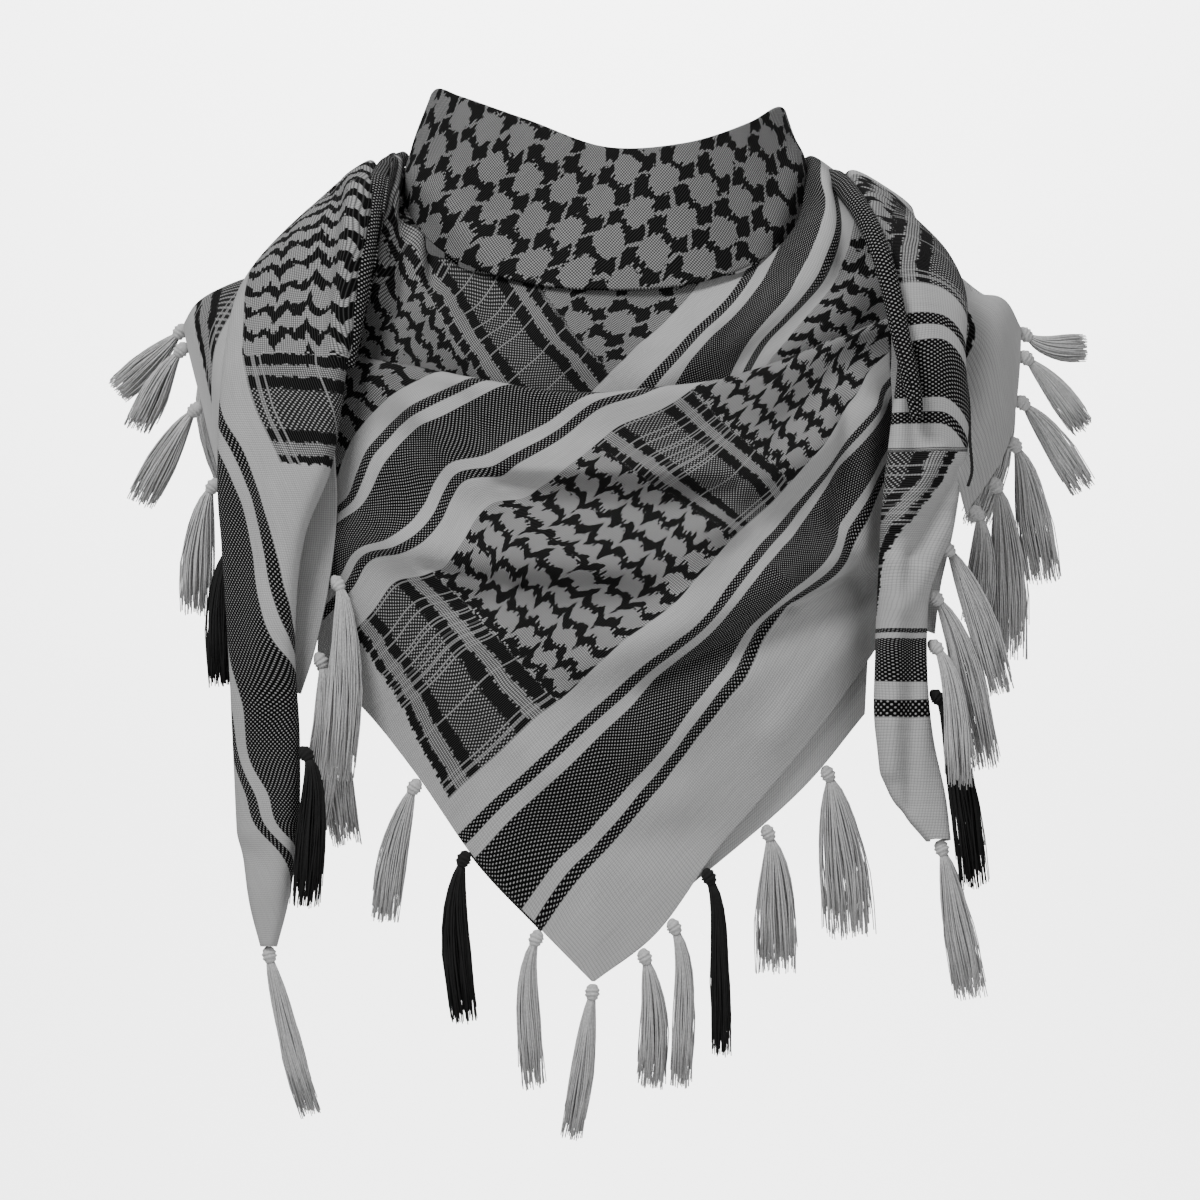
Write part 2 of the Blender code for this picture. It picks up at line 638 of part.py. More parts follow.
def make_front(cloth):
    wall("bib", folded(bib_grid(), BIB_FOLDS), CLOTH, cloth)
    wall("under_bib", under_bib_grid(), CLOTH, cloth)
    wall("left_under_tail", lattice(LEFT_UNDER_TAIL, UNDER_TAIL_STEPS), CLOTH, cloth)
    wall("right_under_tail", lattice(RIGHT_UNDER_TAIL, UNDER_TAIL_STEPS), CLOTH, cloth)


def make_shoulders(cloth):
    wall("left_wing", folded(lattice(LEFT_WING, WING_STEPS), LEFT_WING_FOLDS), CLOTH, cloth)
    wall("right_wing", folded(lattice(RIGHT_WING, WING_STEPS), RIGHT_WING_FOLDS), CLOTH, cloth)
    wall("back", folded(lattice(BACK, BACK_STEPS), BACK_FOLDS, front=False), CLOTH, cloth)


def make_tails(cloth):
    left = folded(tail_grid(LEFT_TAIL), LEFT_TAIL_FOLDS)
    left = folded(left, LEFT_TAIL_BACK_FOLDS, front=False)
    wall("left_tail", left, CLOTH, cloth)
    wall("right_tail", folded(tail_grid(RIGHT_TAIL), RIGHT_TAIL_FOLDS), CLOTH, cloth)


def make_tassels(grey, black):
    for name, place, along, *end, spread, is_black in TASSELS:
        hem, out = tied_to(place, along)
        root = hem + out * ROOT_GAP
        tassel(name, root, out, np.array(end, float), spread, black if is_black else grey)


def main():
    for old in list(bpy.data.objects):
        bpy.data.objects.remove(old)
    grey = material("grey_cotton", GREY)
    patterned = material("patterned_cotton", MID_GREY)
    black = material("black_cotton", BLACK)
    make_neck(patterned)
    make_front(grey)
    make_shoulders(grey)
    make_tails(patterned)
    make_tassels(grey, black)


main()
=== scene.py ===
# Fringed square scarf of woven cotton, worn round the neck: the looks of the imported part.
# Tables are in millimetres and meshes in metres. -Y is the front, left is the viewer's left, and
# the origin is on the neck's axis, level with the tops of the shoulders.
import math
from functools import partial

import bpy
import numpy as np
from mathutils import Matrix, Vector


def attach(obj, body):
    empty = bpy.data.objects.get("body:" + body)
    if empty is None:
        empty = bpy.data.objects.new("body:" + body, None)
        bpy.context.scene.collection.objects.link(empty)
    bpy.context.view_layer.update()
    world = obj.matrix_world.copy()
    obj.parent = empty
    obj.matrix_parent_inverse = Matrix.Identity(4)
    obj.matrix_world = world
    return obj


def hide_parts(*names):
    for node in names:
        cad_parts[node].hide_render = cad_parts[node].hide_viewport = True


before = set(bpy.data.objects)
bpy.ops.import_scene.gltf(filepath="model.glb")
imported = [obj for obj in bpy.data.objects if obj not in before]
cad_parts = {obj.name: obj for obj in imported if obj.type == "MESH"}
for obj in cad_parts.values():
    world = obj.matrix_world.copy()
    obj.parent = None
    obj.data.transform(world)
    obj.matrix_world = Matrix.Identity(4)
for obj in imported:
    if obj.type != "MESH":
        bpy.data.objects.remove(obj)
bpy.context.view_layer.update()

millimetre = 0.001
figureCentre = np.array([0.0, 0.0, -120.0])  # inside the wearer, for telling out from in


# Curves and sheets


def smoothLine(stations, values, at):
    # a cubic through values, one for each station, with the slope of its neighbours at each
    stations = np.asarray(stations, float)
    values = np.asarray(values, float)
    at = np.asarray(at, float)
    slopes = np.gradient(values, stations, axis=0)
    low = np.clip(np.searchsorted(stations, at, side="right") - 1, 0, len(stations) - 2)
    step = stations[low + 1] - stations[low]
    shape = (-1,) + (1,) * (values.ndim - 1)
    t = ((at - stations[low]) / step).reshape(shape)
    step = step.reshape(shape)
    return (
        (2 * t**3 - 3 * t**2 + 1) * values[low]
        + (t**3 - 2 * t**2 + t) * step * slopes[low]
        + (3 * t**2 - 2 * t**3) * values[low + 1]
        + (t**3 - t**2) * step * slopes[low + 1]
    )


def unit(vector):
    return vector / np.linalg.norm(vector, axis=-1, keepdims=True)


def outward(grid, closed=False):
    # the cross product of a grid's two directions, turned away from the wearer
    if closed:
        ring = np.concatenate([grid[-1:], grid, grid[:1]])
        along = (ring[2:] - ring[:-2]) / 2
    else:
        along = np.gradient(grid, axis=0)
    normal = unit(np.cross(along, np.gradient(grid, axis=1)))
    return normal if (normal * (grid - figureCentre)).sum() > 0 else -normal


def creaseHeight(grid, creases):
    # each crease is a bell across a line from one x, z to another: rise * exp(-(gap / half width)^2)
    place = grid[:, :, [0, 2]]
    height = np.zeros(grid.shape[:2])
    for fromX, fromZ, toX, toZ, halfWidth, rise in creases:
        start = np.array([fromX, fromZ], float)
        run = np.array([toX, toZ]) - start
        share = np.clip(((place - start) @ run) / (run @ run), 0, 1)
        gap = np.linalg.norm(place - (start + share[:, :, None] * run), axis=2)
        height += rise * np.exp(-((gap / halfWidth) ** 2))
    return height


def creased(grid, creases, closed=False, front=True):
    # the grid moved out by its creases, on the wearer's front or back
    side = grid[:, :, 1] < 0 if front else grid[:, :, 1] > 0
    return grid + outward(grid, closed) * (creaseHeight(grid, creases) * side)[:, :, None]


def across(levels, points, steps):
    places = np.linspace(levels[0], levels[-1], steps)
    return smoothLine(levels, points.transpose(1, 0, 2), places).transpose(1, 0, 2)


def lattice(table, steps):
    # a smooth sheet through a table of points: along the stations, then across each one
    stations = [row[0] for row in table]
    points = np.array([row[1:] for row in table], float)
    along = smoothLine(stations, points, np.linspace(stations[0], stations[-1], steps[0]))
    return across(np.arange(points.shape[1]), along, steps[1])


def readTable(table, at):
    # a table's columns as smooth curves of its first one, held level past its ends
    table = np.array(table, float)
    inside = np.clip(at, table[0, 0], table[-1, 0])
    return smoothLine(table[:, 0], table[:, 1:], inside.ravel()).reshape(at.shape + (-1,))


def arcLength(grid, axis):
    # distance along each row or column of a grid from its first point
    step = np.linalg.norm(np.diff(grid, axis=axis), axis=2)
    return np.concatenate([np.zeros_like(np.take(step, [0], axis)), np.cumsum(step, axis)], axis)


def roundNeck(angle, radius, height):
    turn = np.radians(angle)
    return np.stack([radius * np.sin(turn), -radius * np.cos(turn), height], axis=-1)


def finished(name, mesh, material, nodes=()):
    # a mesh as a piece of the scarf, in place of its CAD nodes
    mesh.shade_smooth()
    mesh.materials.append(material)
    piece = bpy.data.objects.new(name, mesh)
    bpy.context.scene.collection.objects.link(piece)
    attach(piece, "root")
    if nodes:
        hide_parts(*nodes)
    return piece


def clothPiece(name, grid, flatPlace, thickness, slot, nodes, cut, closed=False):
    # a grid of quads with the cloth's own flat place as its UV map, then a wall and rounded hems;
    # a closed grid's flat places have its first station again at their end
    long, wide = grid.shape[:2]
    i, j = np.meshgrid(np.arange(long if closed else long - 1), np.arange(wide - 1), indexing="ij")
    corners = np.stack([i, i + 1, i + 1, i], axis=-1), np.stack([j, j, j + 1, j + 1], axis=-1)
    faces = ((corners[0] % long) * wide + corners[1]).reshape(-1, 4)
    i, j = long // 2, wide // 2
    facing = np.cross(grid[i + 1, j] - grid[i, j], grid[i, j + 1] - grid[i, j])
    if facing @ outward(grid, closed)[i, j] < 0:
        faces = faces[:, ::-1]
        corners = corners[0][..., ::-1], corners[1][..., ::-1]
    mesh = bpy.data.meshes.new(name)
    mesh.from_pydata((grid.reshape(-1, 3) * millimetre).tolist(), [], faces.tolist())
    layer = mesh.uv_layers.new(name="cloth")
    uv = flatPlace[corners[0], corners[1]] * millimetre
    layer.uv.foreach_set("vector", uv.astype(np.float32).ravel())
    piece = finished(name, mesh, patternedCotton, nodes)
    wall = piece.modifiers.new("wall", "SOLIDIFY")
    wall.thickness = thickness * millimetre
    wall.offset = 0
    wall.use_even_offset = False
    hems = piece.modifiers.new("hems", "BEVEL")
    hems.width = thickness * 0.3 * millimetre
    hems.segments = 2
    hems.limit_method = "ANGLE"
    hems.angle_limit = math.radians(60)


# Materials


def linear(hexColour):
    # sRGB hex to linear: ((c + 0.055) / 1.055) ^ 2.4
    channels = [int(hexColour[k : k + 2], 16) / 255 for k in (1, 3, 5)]
    return [c / 12.92 if c <= 0.04045 else ((c + 0.055) / 1.055) ** 2.4 for c in channels] + [1]


def addNode(tree, kind, *inputs, **settings):
    # one shader node with its settings, its inputs linked or set in order, and its first output;
    # a kind in capitals is a Math node's operation
    if kind.isupper():
        kind, settings = "Math", {"operation": kind}
    node = tree.nodes.new("ShaderNode" + kind)
    for setting, value in settings.items():
        setattr(node, setting, value)
    for socket, value in zip(node.inputs, inputs):
        if isinstance(value, bpy.types.NodeSocket):
            tree.links.new(value, socket)
        elif value is not None:
            socket.default_value = value
    return node.outputs[0]


weave = {
    "light": "#a2a2a2",  # grey yarn
    "dark": "#080808",  # near-black yarn
    "thread": 1.1,  # from one thread to the next, as coarse as it has to be to show
    "wander": (0.02, 5.0),  # threads wander from straight: how tightly, and how far
    "uneven": (0.07, 6.0),  # figures differ one from the next: how tightly, and how far
    "ragged": 3.2,  # how unevenly the floating threads end at a figure's edge
    "raggedLength": 7.0,  # over how long a stretch a thread ends alike
    "raggedGroups": (0.34, 0.9),  # groups of threads in a thread, and how much each adds
    "raggedBars": 0.5,  # the share of it at a bar's edge
    # what lies at each distance in from the hem
    "stripes": [(52, 58.5), (66, 98), (105.5, 112), (258, 264.5), (272, 304), (311.5, 318)],
    "field": (130, 240),  # the net figure, between the two groups of stripes
    "centre": 336,  # the hound's-tooth, inside the second group
    # what lies at each distance along the stripes; places past the second sheet's start are on
    # another stretch of the same cloth
    "blockStarts": (40, 212, 1040),
    "secondSheet": 1000,
    "bars": [(0, 4.5), (10.6, 16.3), (35.7, 42.3), (48.2, 54.5)],
    "netLine": 14.4,  # from one wavy line of the net to the next
    "netTurn": 17.0,  # from one point of a wavy line to the next, opposite one
    "netPoint": 8.8,  # how far a point reaches
    "netWidth": 4.3,
    "netSharp": (7.0, 14.0),  # how fast a point and the notch behind it narrow
    "netNotch": 3.0,
    "netSwing": 1.5,
    "netSwell": 0.7,
    "tooth": (22.0, 18.5),  # hound's-tooth: from one figure to the next along and across
    "toothHalf": (7.3, 4.9),  # half size of the two blobs of one figure
    "toothApart": 6.8,  # from the middle of a figure to the middle of a blob
    "toothNeck": 2.3,  # half width of the neck between them
    # how dark a stripe, the ground of a barred block and its mesh are under their pale threads, and
    # by how much each pale thread lightens them
    "stripeDark": (1.0, 0.74),
    "groundDark": (0.98, 1.0),
    "meshDark": (0.9, 0.85),
    "paleThread": 0.5,  # how pale the single threads that cross a barred block are
    "holeReach": (0.45, 0.5),  # how wide the tabby's holes are in plain cloth, and more in figured
    "holeDepth": (0.34, 0.53),  # how dark they are in the same two
    "centrePaintedShade": 0.14,  # how much darker the whole centre is: painted shade on the collar and the middle of the front, darkened as if lit less round the neck
    "floatLine": 0.09,  # how pale the lines between dark floats are
    "slub": (0.06, 0.9, 1),  # how tight the slubs are along and across the threads
    "cloud": 0.02,
    "toneDepth": 0.3,  # how much either one changes the tone
    "roughness": 0.92,
    "gloss": 0.05,
    "relief": (0.4, 0.0004),  # strength of the threads' relief, and its depth in metres
}


def netFigure(add, x, y):
    # wavy lines along y: each swings gently and is drawn out to a point at every turn, to one side
    # and the other in turn, with a notch behind the point
    turn = add("DIVIDE", add("SUBTRACT", y, weave["field"][0]), weave["netTurn"])
    nearest = add("ROUND", turn)
    off = add("ABSOLUTE", add("SUBTRACT", turn, nearest))
    odd = add("MODULO", add("ABSOLUTE", nearest), 2.0)
    side = add("MULTIPLY_ADD", odd, -2.0, 1.0)
    point, notch = (add("EXPONENT", add("MULTIPLY", off, -sharp)) for sharp in weave["netSharp"])
    full = add("MULTIPLY", turn, 2 * math.pi)
    half = add("SIGN", add("SINE", add("MULTIPLY", turn, math.pi)))
    swing = add("MULTIPLY", add("MULTIPLY", add("SINE", full), half), -weave["netSwing"])
    reach = add("MULTIPLY", point, weave["netPoint"])
    bite = add("MULTIPLY", notch, weave["netNotch"])
    lean = add("MULTIPLY", add("ADD", reach, bite), side)
    centre = add("MULTIPLY_ADD", lean, 0.5, swing)
    swell = add("COSINE", add("MULTIPLY", full, 2.0))
    width = add("MULTIPLY_ADD", swell, -weave["netSwell"], weave["netWidth"])
    spread = add("ADD", add("SUBTRACT", reach, bite), width)
    halfWidth = add("MULTIPLY", spread, 0.5)
    gap = add("PINGPONG", add("SUBTRACT", x, centre), weave["netLine"] / 2)
    inside = add("SUBTRACT", halfWidth, gap)
    return add("MapRange", inside, -0.25, 0.25, 0.0, 1.0)


def toothFigure(add, x, y):
    # two pointed blobs joined by a neck, every other row set half a step along
    wide, high = weave["tooth"]
    figures = []
    for shift in (0.0, 0.5):
        column = add("MULTIPLY_ADD", x, 1 / wide, shift)
        row = add("MULTIPLY_ADD", y, 0.5 / high, shift)
        fromAxis = add("ABSOLUTE", add("SUBTRACT", add("FRACT", column), 0.5))
        fromMiddle = add("ABSOLUTE", add("SUBTRACT", add("FRACT", row), 0.5))
        blobX = add("MULTIPLY", fromAxis, wide / weave["toothHalf"][0])
        blobGap = add("MULTIPLY_ADD", fromMiddle, 2 * high, -weave["toothApart"])
        blobY = add("MULTIPLY", add("ABSOLUTE", blobGap), 1 / weave["toothHalf"][1])
        blob = add("MapRange", add("ADD", blobX, blobY), 0.97, 1.05, 1.0, 0.0)
        neck = weave["toothNeck"]
        neckX = add("MapRange", fromAxis, neck / wide, (neck + 0.3) / wide, 1.0, 0.0)
        neckY = add("MapRange", blobGap, 0.0, 0.5, 1.0, 0.0)
        figures.append(add("MAXIMUM", blob, add("MULTIPLY", neckX, neckY)))
    return add("MAXIMUM", *figures)


def between(add, value, low, high, soft=0.3):
    # 1 from low to high, 0 elsewhere, with edges a little soft
    up = add("MapRange", value, low - soft, low + soft, 0.0, 1.0)
    down = add("MapRange", value, high - soft, high + soft, 1.0, 0.0)
    return add("MULTIPLY", up, down)


def wovenCotton(name):
    # plain-woven cotton in grey and near-black yarn, its figures floated in the dark weft
    cloth = bpy.data.materials.new(name)
    cloth.use_nodes = True
    tree = cloth.node_tree
    shader = tree.nodes["Principled BSDF"]
    add = partial(addNode, tree)
    place = add("VectorMath", add("UVMap", uv_map="cloth"), (1000, 1000, 1000), operation="MULTIPLY")
    split = add("SeparateXYZ", place).node
    tight, far = weave["wander"]
    drift = add("TexNoise", place, None, tight, 2.0)
    drift = add("MULTIPLY_ADD", drift, far, -far / 2)
    along = add("ADD", split.outputs[0], drift)
    inward = add("ADD", split.outputs[1], drift)

    # threads: tabby holes where two threads of each direction leave a gap, and in dark cloth a
    # pale warp thread over every other crossing
    warp = add("MULTIPLY_ADD", along, 1 / weave["thread"], 3000.0)
    weft = add("MULTIPLY_ADD", inward, 1 / weave["thread"], 3000.0)
    overWarp = add("ABSOLUTE", add("SINE", add("MULTIPLY", warp, math.pi)))
    overWeft = add("ABSOLUTE", add("SINE", add("MULTIPLY", weft, math.pi)))
    bulge = add("MULTIPLY", overWarp, overWeft)
    row = add("FLOOR", weft)
    column = add("FLOOR", warp)
    crossing = add("MODULO", add("ADD", row, column), 2.0)
    dot = add("MapRange", bulge, 0.3, 0.8, 0.0, 1.0)
    pin = add("MULTIPLY", dot, crossing)

    # floating threads end unevenly, thread by thread and in small groups
    reach = add("FLOOR", add("MULTIPLY", along, 1 / weave["raggedLength"]))
    chance = add("TexWhiteNoise", add("CombineXYZ", row, reach), noise_dimensions="2D")
    group = add("FLOOR", add("MULTIPLY", row, weave["raggedGroups"][0]))
    groupChance = add("TexWhiteNoise", None, group, noise_dimensions="1D")
    ragged = add("MULTIPLY_ADD", chance, weave["ragged"], -weave["ragged"] / 2)
    ragged = add("MULTIPLY_ADD", groupChance, weave["raggedGroups"][1], ragged)
    x = add("ADD", along, ragged)
    rowChance = add("TexWhiteNoise", None, row, noise_dimensions="1D")

    # stripes along the hem
    striped = 0.0
    for low, high in weave["stripes"]:
        striped = add("ADD", between(add, inward, low, high), striped)
    bandDark = add("MULTIPLY_ADD", pin, -weave["stripeDark"][1], weave["stripeDark"][0])
    bands = add("MULTIPLY", striped, bandDark)

    # barred blocks: dark bars on a pin-dotted ground, crossed by single pale threads
    inBlock, bars, mesh = 0.0, 0.0, 0.0
    barPlace = add("MULTIPLY_ADD", ragged, weave["raggedBars"], along)
    for start in weave["blockStarts"]:
        local = add("SUBTRACT", barPlace, float(start))
        inBlock = add("ADD", between(add, local, 0, weave["bars"][-1][1]), inBlock)
        for low, high in weave["bars"]:
            bars = add("ADD", between(add, local, low, high), bars)
        for (_, low), (high, _) in zip(weave["bars"][::2], weave["bars"][1::2]):
            mesh = add("ADD", between(add, local, low, high), mesh)
    ground = add("MULTIPLY_ADD", pin, -weave["groundDark"][1], weave["groundDark"][0])
    meshDark = add("MULTIPLY_ADD", dot, -weave["meshDark"][1], weave["meshDark"][0])
    block = add("Mix", mesh, None, ground, meshDark)
    block = add("MAXIMUM", block, bars)
    paleThread = add("MapRange", rowChance, 0.86, 0.9, 0.0, weave["paleThread"])
    block = add("SUBTRACT", block, paleThread)

    # where each figure lies
    start, end = weave["blockStarts"], weave["bars"][-1][1]
    second = weave["secondSheet"]
    uneven = add("TexNoise", place, None, weave["uneven"][0], 1.0)
    shifted = add("MULTIPLY_ADD", uneven, weave["uneven"][1], x)
    raised = add("MULTIPLY_ADD", uneven, -weave["uneven"][1], inward)
    net, tooth = netFigure(add, shifted, inward), toothFigure(add, shifted, raised)
    netHere = add("ADD", between(add, x, start[0] + end, second - 1), add("GREATER_THAN", x, start[2] + end))
    inField = between(add, inward, *weave["field"])
    inCentre = add("MapRange", inward, weave["centre"] - 0.3, weave["centre"] + 0.3, 0.0, 1.0)
    fieldFigure = add("Mix", inBlock, None, add("MULTIPLY", net, netHere), block)
    pastBlock = add("GREATER_THAN", x, start[2] + end)
    centreFigure = add("Mix", inBlock, None, add("Mix", pastBlock, None, net, tooth), block)
    figures = add("MULTIPLY", fieldFigure, inField)
    figures = add("MULTIPLY_ADD", centreFigure, inCentre, figures)
    darkness = add("ADD", figures, bands)

    # holes show darker where the cloth is figured; dark floats have fine lines between them
    figureHere = add("MAXIMUM", netHere, inBlock)
    figured = add("MULTIPLY_ADD", inField, figureHere, inCentre)
    holeReach = add("MULTIPLY_ADD", figured, weave["holeReach"][1], weave["holeReach"][0])
    holesAndCentreShade = add("MapRange", bulge, 0.0, holeReach, 1.0, 0.0)
    holeDepth = add("MULTIPLY_ADD", figured, weave["holeDepth"][1], weave["holeDepth"][0])
    holesAndCentreShade = add("MULTIPLY", holesAndCentreShade, holeDepth)
    # the whole centre darkened a little more: painted shade on the collar and the middle of the front
    holesAndCentreShade = add("MULTIPLY_ADD", inCentre, weave["centrePaintedShade"], holesAndCentreShade)
    darkness = add("MAXIMUM", holesAndCentreShade, darkness)
    floatLine = add("MapRange", overWeft, 0.0, 0.6, weave["floatLine"], 0.0)
    floatLine = add("MULTIPLY", floatLine, figures)
    darkness = add("SUBTRACT", darkness, floatLine)

    # slubs along the threads, and a slow change of tone over the cloth
    stretched = add("VectorMath", place, weave["slub"], operation="MULTIPLY")
    slub = add("TexNoise", stretched, None, 1.0, 3.0)
    cloud = add("TexNoise", place, None, weave["cloud"], 2.0)
    depth = weave["toneDepth"]
    tone = add("MULTIPLY_ADD", slub, depth, 1 - depth / 2)
    tone = add("MULTIPLY", tone, add("MULTIPLY_ADD", cloud, depth, 1 - depth / 2))
    colours = linear(weave["light"]), linear(weave["dark"])
    mixed = add("Mix", darkness, *[None] * 5, *colours, data_type="RGBA").node
    toned = add("VectorMath", mixed.outputs[2], operation="SCALE").node
    tree.links.new(tone, toned.inputs["Scale"])
    tree.links.new(toned.outputs[0], shader.inputs["Base Color"])
    shader.inputs["Roughness"].default_value = weave["roughness"]
    shader.inputs["Specular IOR Level"].default_value = weave["gloss"]
    relief = add("Bump", *weave["relief"]).node
    tree.links.new(bulge, relief.inputs["Height"])
    tree.links.new(relief.outputs[0], shader.inputs["Normal"])
    return cloth


looseCotton = {
    "tight": 900.0,  # how tightly its colour changes
    "tones": (0.75, 1.2),
    "roughness": 0.85,
    "sheen": 0.06,
    "gloss": 0.15,
}


def looseYarn(name, hexColour):
    # loose cotton yarn: matt, its colour a little uneven along each thread
    yarn = bpy.data.materials.new(name)
    yarn.use_nodes = True
    tree = yarn.node_tree
    shader = tree.nodes["Principled BSDF"]
    place = addNode(tree, "TexCoord")
    objectPlace = place.node.outputs["Object"]
    noise = addNode(tree, "TexNoise", objectPlace, None, looseCotton["tight"], 3.0)
    tone = addNode(tree, "MapRange", noise, 0.25, 0.75, *looseCotton["tones"])
    colour = addNode(tree, "VectorMath", linear(hexColour)[:3], None, None, operation="SCALE")
    tree.links.new(tone, colour.node.inputs["Scale"])
    tree.links.new(colour, shader.inputs["Base Color"])
    shader.inputs["Roughness"].default_value = looseCotton["roughness"]
    shader.inputs["Sheen Weight"].default_value = looseCotton["sheen"]
    shader.inputs["Specular IOR Level"].default_value = looseCotton["gloss"]
    return yarn


patternedCotton = wovenCotton("wovenGreyAndBlackCotton")
greyYarn = looseYarn("looseGreyCottonYarn", "#adadad")
blackYarn = looseYarn("looseBlackCottonYarn", "#181818")
print("materials made")


# Collar: the folded long edge, smooth and taut, once round the neck

collar = {
    "grid": (360, 40),
    "thickness": 2.4,
    # angle round the neck, then the radius and height of its top, middle and hem
    "rings": [
        (-180, 72, 6, 80, -12, 88, -34),
        (-150, 76, 11, 84, -8, 92, -30),
        (-120, 83, 24, 91, 3, 98, -20),
        (-95, 87, 37, 96, 14, 101, -10),
        (-80, 85, 42, 95, 10, 101, -17),
        (-60, 84, 38, 92, -2, 101, -35),
        (-30, 79, 26, 88, -16, 102, -54),
        (0, 76, 12, 87, -22, 103, -60),
        (30, 79, 14, 89, -20, 103, -55),
        (60, 84, 25, 93, -6, 102, -36),
        (80, 88, 33, 96, 8, 102, -14),
        (95, 90, 30, 96, 12, 102, -6),
        (120, 84, 20, 92, 2, 98, -18),
        (150, 76, 10, 84, -8, 92, -30),
        (180, 72, 6, 80, -12, 88, -34),
    ],
    "creases": [
        (-92, -5, -55, -48, 9, 3),
        (98, 8, 84, -30, 7, 2),
    ],
    "meanRadius": 92.0,
    "flatPlace": (2000.0, 1400.0),  # where it lies when flat, well inside the hound's-tooth
    "cut": {"flat": (0.6, 0.075), "area": 0.034, "held": "gathered", "rests_on": ["cowl"]},
}


def collarAt(angles):
    rings = np.array(collar["rings"], float)
    topR, topZ, midR, midZ, hemR, hemZ = smoothLine(rings[:, 0], rings[:, 1:], angles).T
    levels = ((topR, topZ), (midR, midZ), (hemR, hemZ))
    return np.stack([roundNeck(angles, radius, height) for radius, height in levels], axis=1)


def makeCollar():
    angles = np.linspace(-180, 180, collar["grid"][0], endpoint=False)
    grid = across(np.arange(3), collarAt(angles), collar["grid"][1])
    # the cloth is folded on its bias, so its threads run at 45 degrees to the collar
    around = np.radians(np.append(angles, 180))[:, None] * collar["meanRadius"]
    closing = np.concatenate([grid, grid[:1]])
    height = closing[:, :, 2]
    start, inward = collar["flatPlace"]
    onBias = (around + height) / math.sqrt(2), (around - height) / math.sqrt(2)
    place = np.stack([onBias[0] + start, onBias[1] + inward], axis=2)
    grid = creased(grid, collar["creases"], closed=True)
    piece = "collar_cloth", grid, place, collar["thickness"], "patterned_cotton", ["collar"]
    clothPiece(*piece, collar["cut"], closed=True)


makeCollar()
print("collar made")


# Cowl: the loose wrap between the collar and the bib, from shoulder to shoulder

cowl = {
    "grid": (300, 70),
    "thickness": 1.2,
    # station, angle round the neck, upper edge out from and up from the collar's hem,
    # middle x, y, z, outer edge x, y, z
    "rows": [
        (0, -97, 1.8, -2, -105, 12, 9, -113, 12, 6),
        (0.5, -82, 2.4, 1, -107.2, -19.5, -0.5, -118.5, -23.3, -17),
        (1, -68, 3.5, -1, -108, -48, -12, -124, -54, -36),
        (2, -46, -6.0, -5.0, -97, -84, -56, -128.5, -83, -88),
        (3, -28, -12.0, 8.0, -73, -102, -80, -92, -103, -115),
        (4, -12, -8.0, 8.0, -28, -109, -88, -45, -111, -122),
        (5, 7, -8.0, 8.0, 12, -110, -90, 12, -113, -124),
        (6, 28, -12.0, 4.0, 66, -104, -80, 84, -103, -112),
        (7, 47, -7.0, -6.0, 106, -86, -56, 142, -67.3, -78),
        (8, 68, 3.6, 1.0, 112, -50, -10, 136, -58, -38),
        (8.4, 80, 0.4, 8.0, 110, -25, 0, 130, -32, -22),
        (9, 97, -2.0, 12, 105, 12, 8, 117, 12, 0),
    ],
    "creases": [
        (-84, -70, -50, -112, 11, 4),
        (-60, -70, -14, -108, 9, -3),
        (110, -34, 28, -106, 12, 5),
        (122, -50, 70, -95, 9, -4),
        (-106, 4, -114, -62, 4.5, 4),
        (-99, -6, -107, -70, 4, -3.5),
        (-93, -14, -94, -52, 4, 3),
        (-88, -24, -86, -60, 4, -3),
        (92, -50, 60, -84, 5, -2.5),
        (118, -8, 118, -44, 5, -3),
    ],
    # Where the woven figures run, by height: across the front, the two long edges of the barred
    # block, then the places where an inner stripe, both edges of the broad band, an outer stripe
    # and the net lie
    "figureRuns": [
        (-115, -53, 14, 15, 29.5, 56.5, 65, 70),
        (-105, -61, 4, 24.5, 36.5, 61.5, 70, 76),
        (-95, -68, -3, 35, 43.5, 66.5, 75.5, 83),
        (-85, -75.5, -14, 45, 53, 71.5, 81.5, 91.5),
        (-75, -82, -21, 56, 64, 80, 91, 100),
        (-65, -87, -29, 65.5, 73.5, 90, 100, 108.5),
        (-55, -93, -36, 73, 82, 97, 108.5, 115.5),
        (-45, -98, -43, 78, 88, 103.5, 113.5, 120),
        (-35, -103, -50, 85, 92, 108, 116.5, 122),
        (-25, -108, -57, 90, 95, 110, 118, 123.5),
        (-15, -113, -64, 91.5, 96.5, 110.5, 118, 123.5),
        (-5, -118, -71, 92.5, 97.5, 108.5, 116.5, 121.5),
        (10, -125, -81, 93.5, 97.5, 108.5, 115.5, 120.5),
    ],
    "figurePlaces": (314.7, 304, 272, 261, 240),  # how far in from the hem they lie when flat
    # what a millimetre is of the flat cloth: left and right of the stripes, then left of the
    # barred block, and right of it across and up
    "beyondStripes": (0.85, 0.9),
    "beyondBlock": (1.3, 0.5, 0.85),
    "cut": {"flat": (0.34, 0.12), "area": 0.032, "held": "gathered", "rests_on": ["bib"]},
}


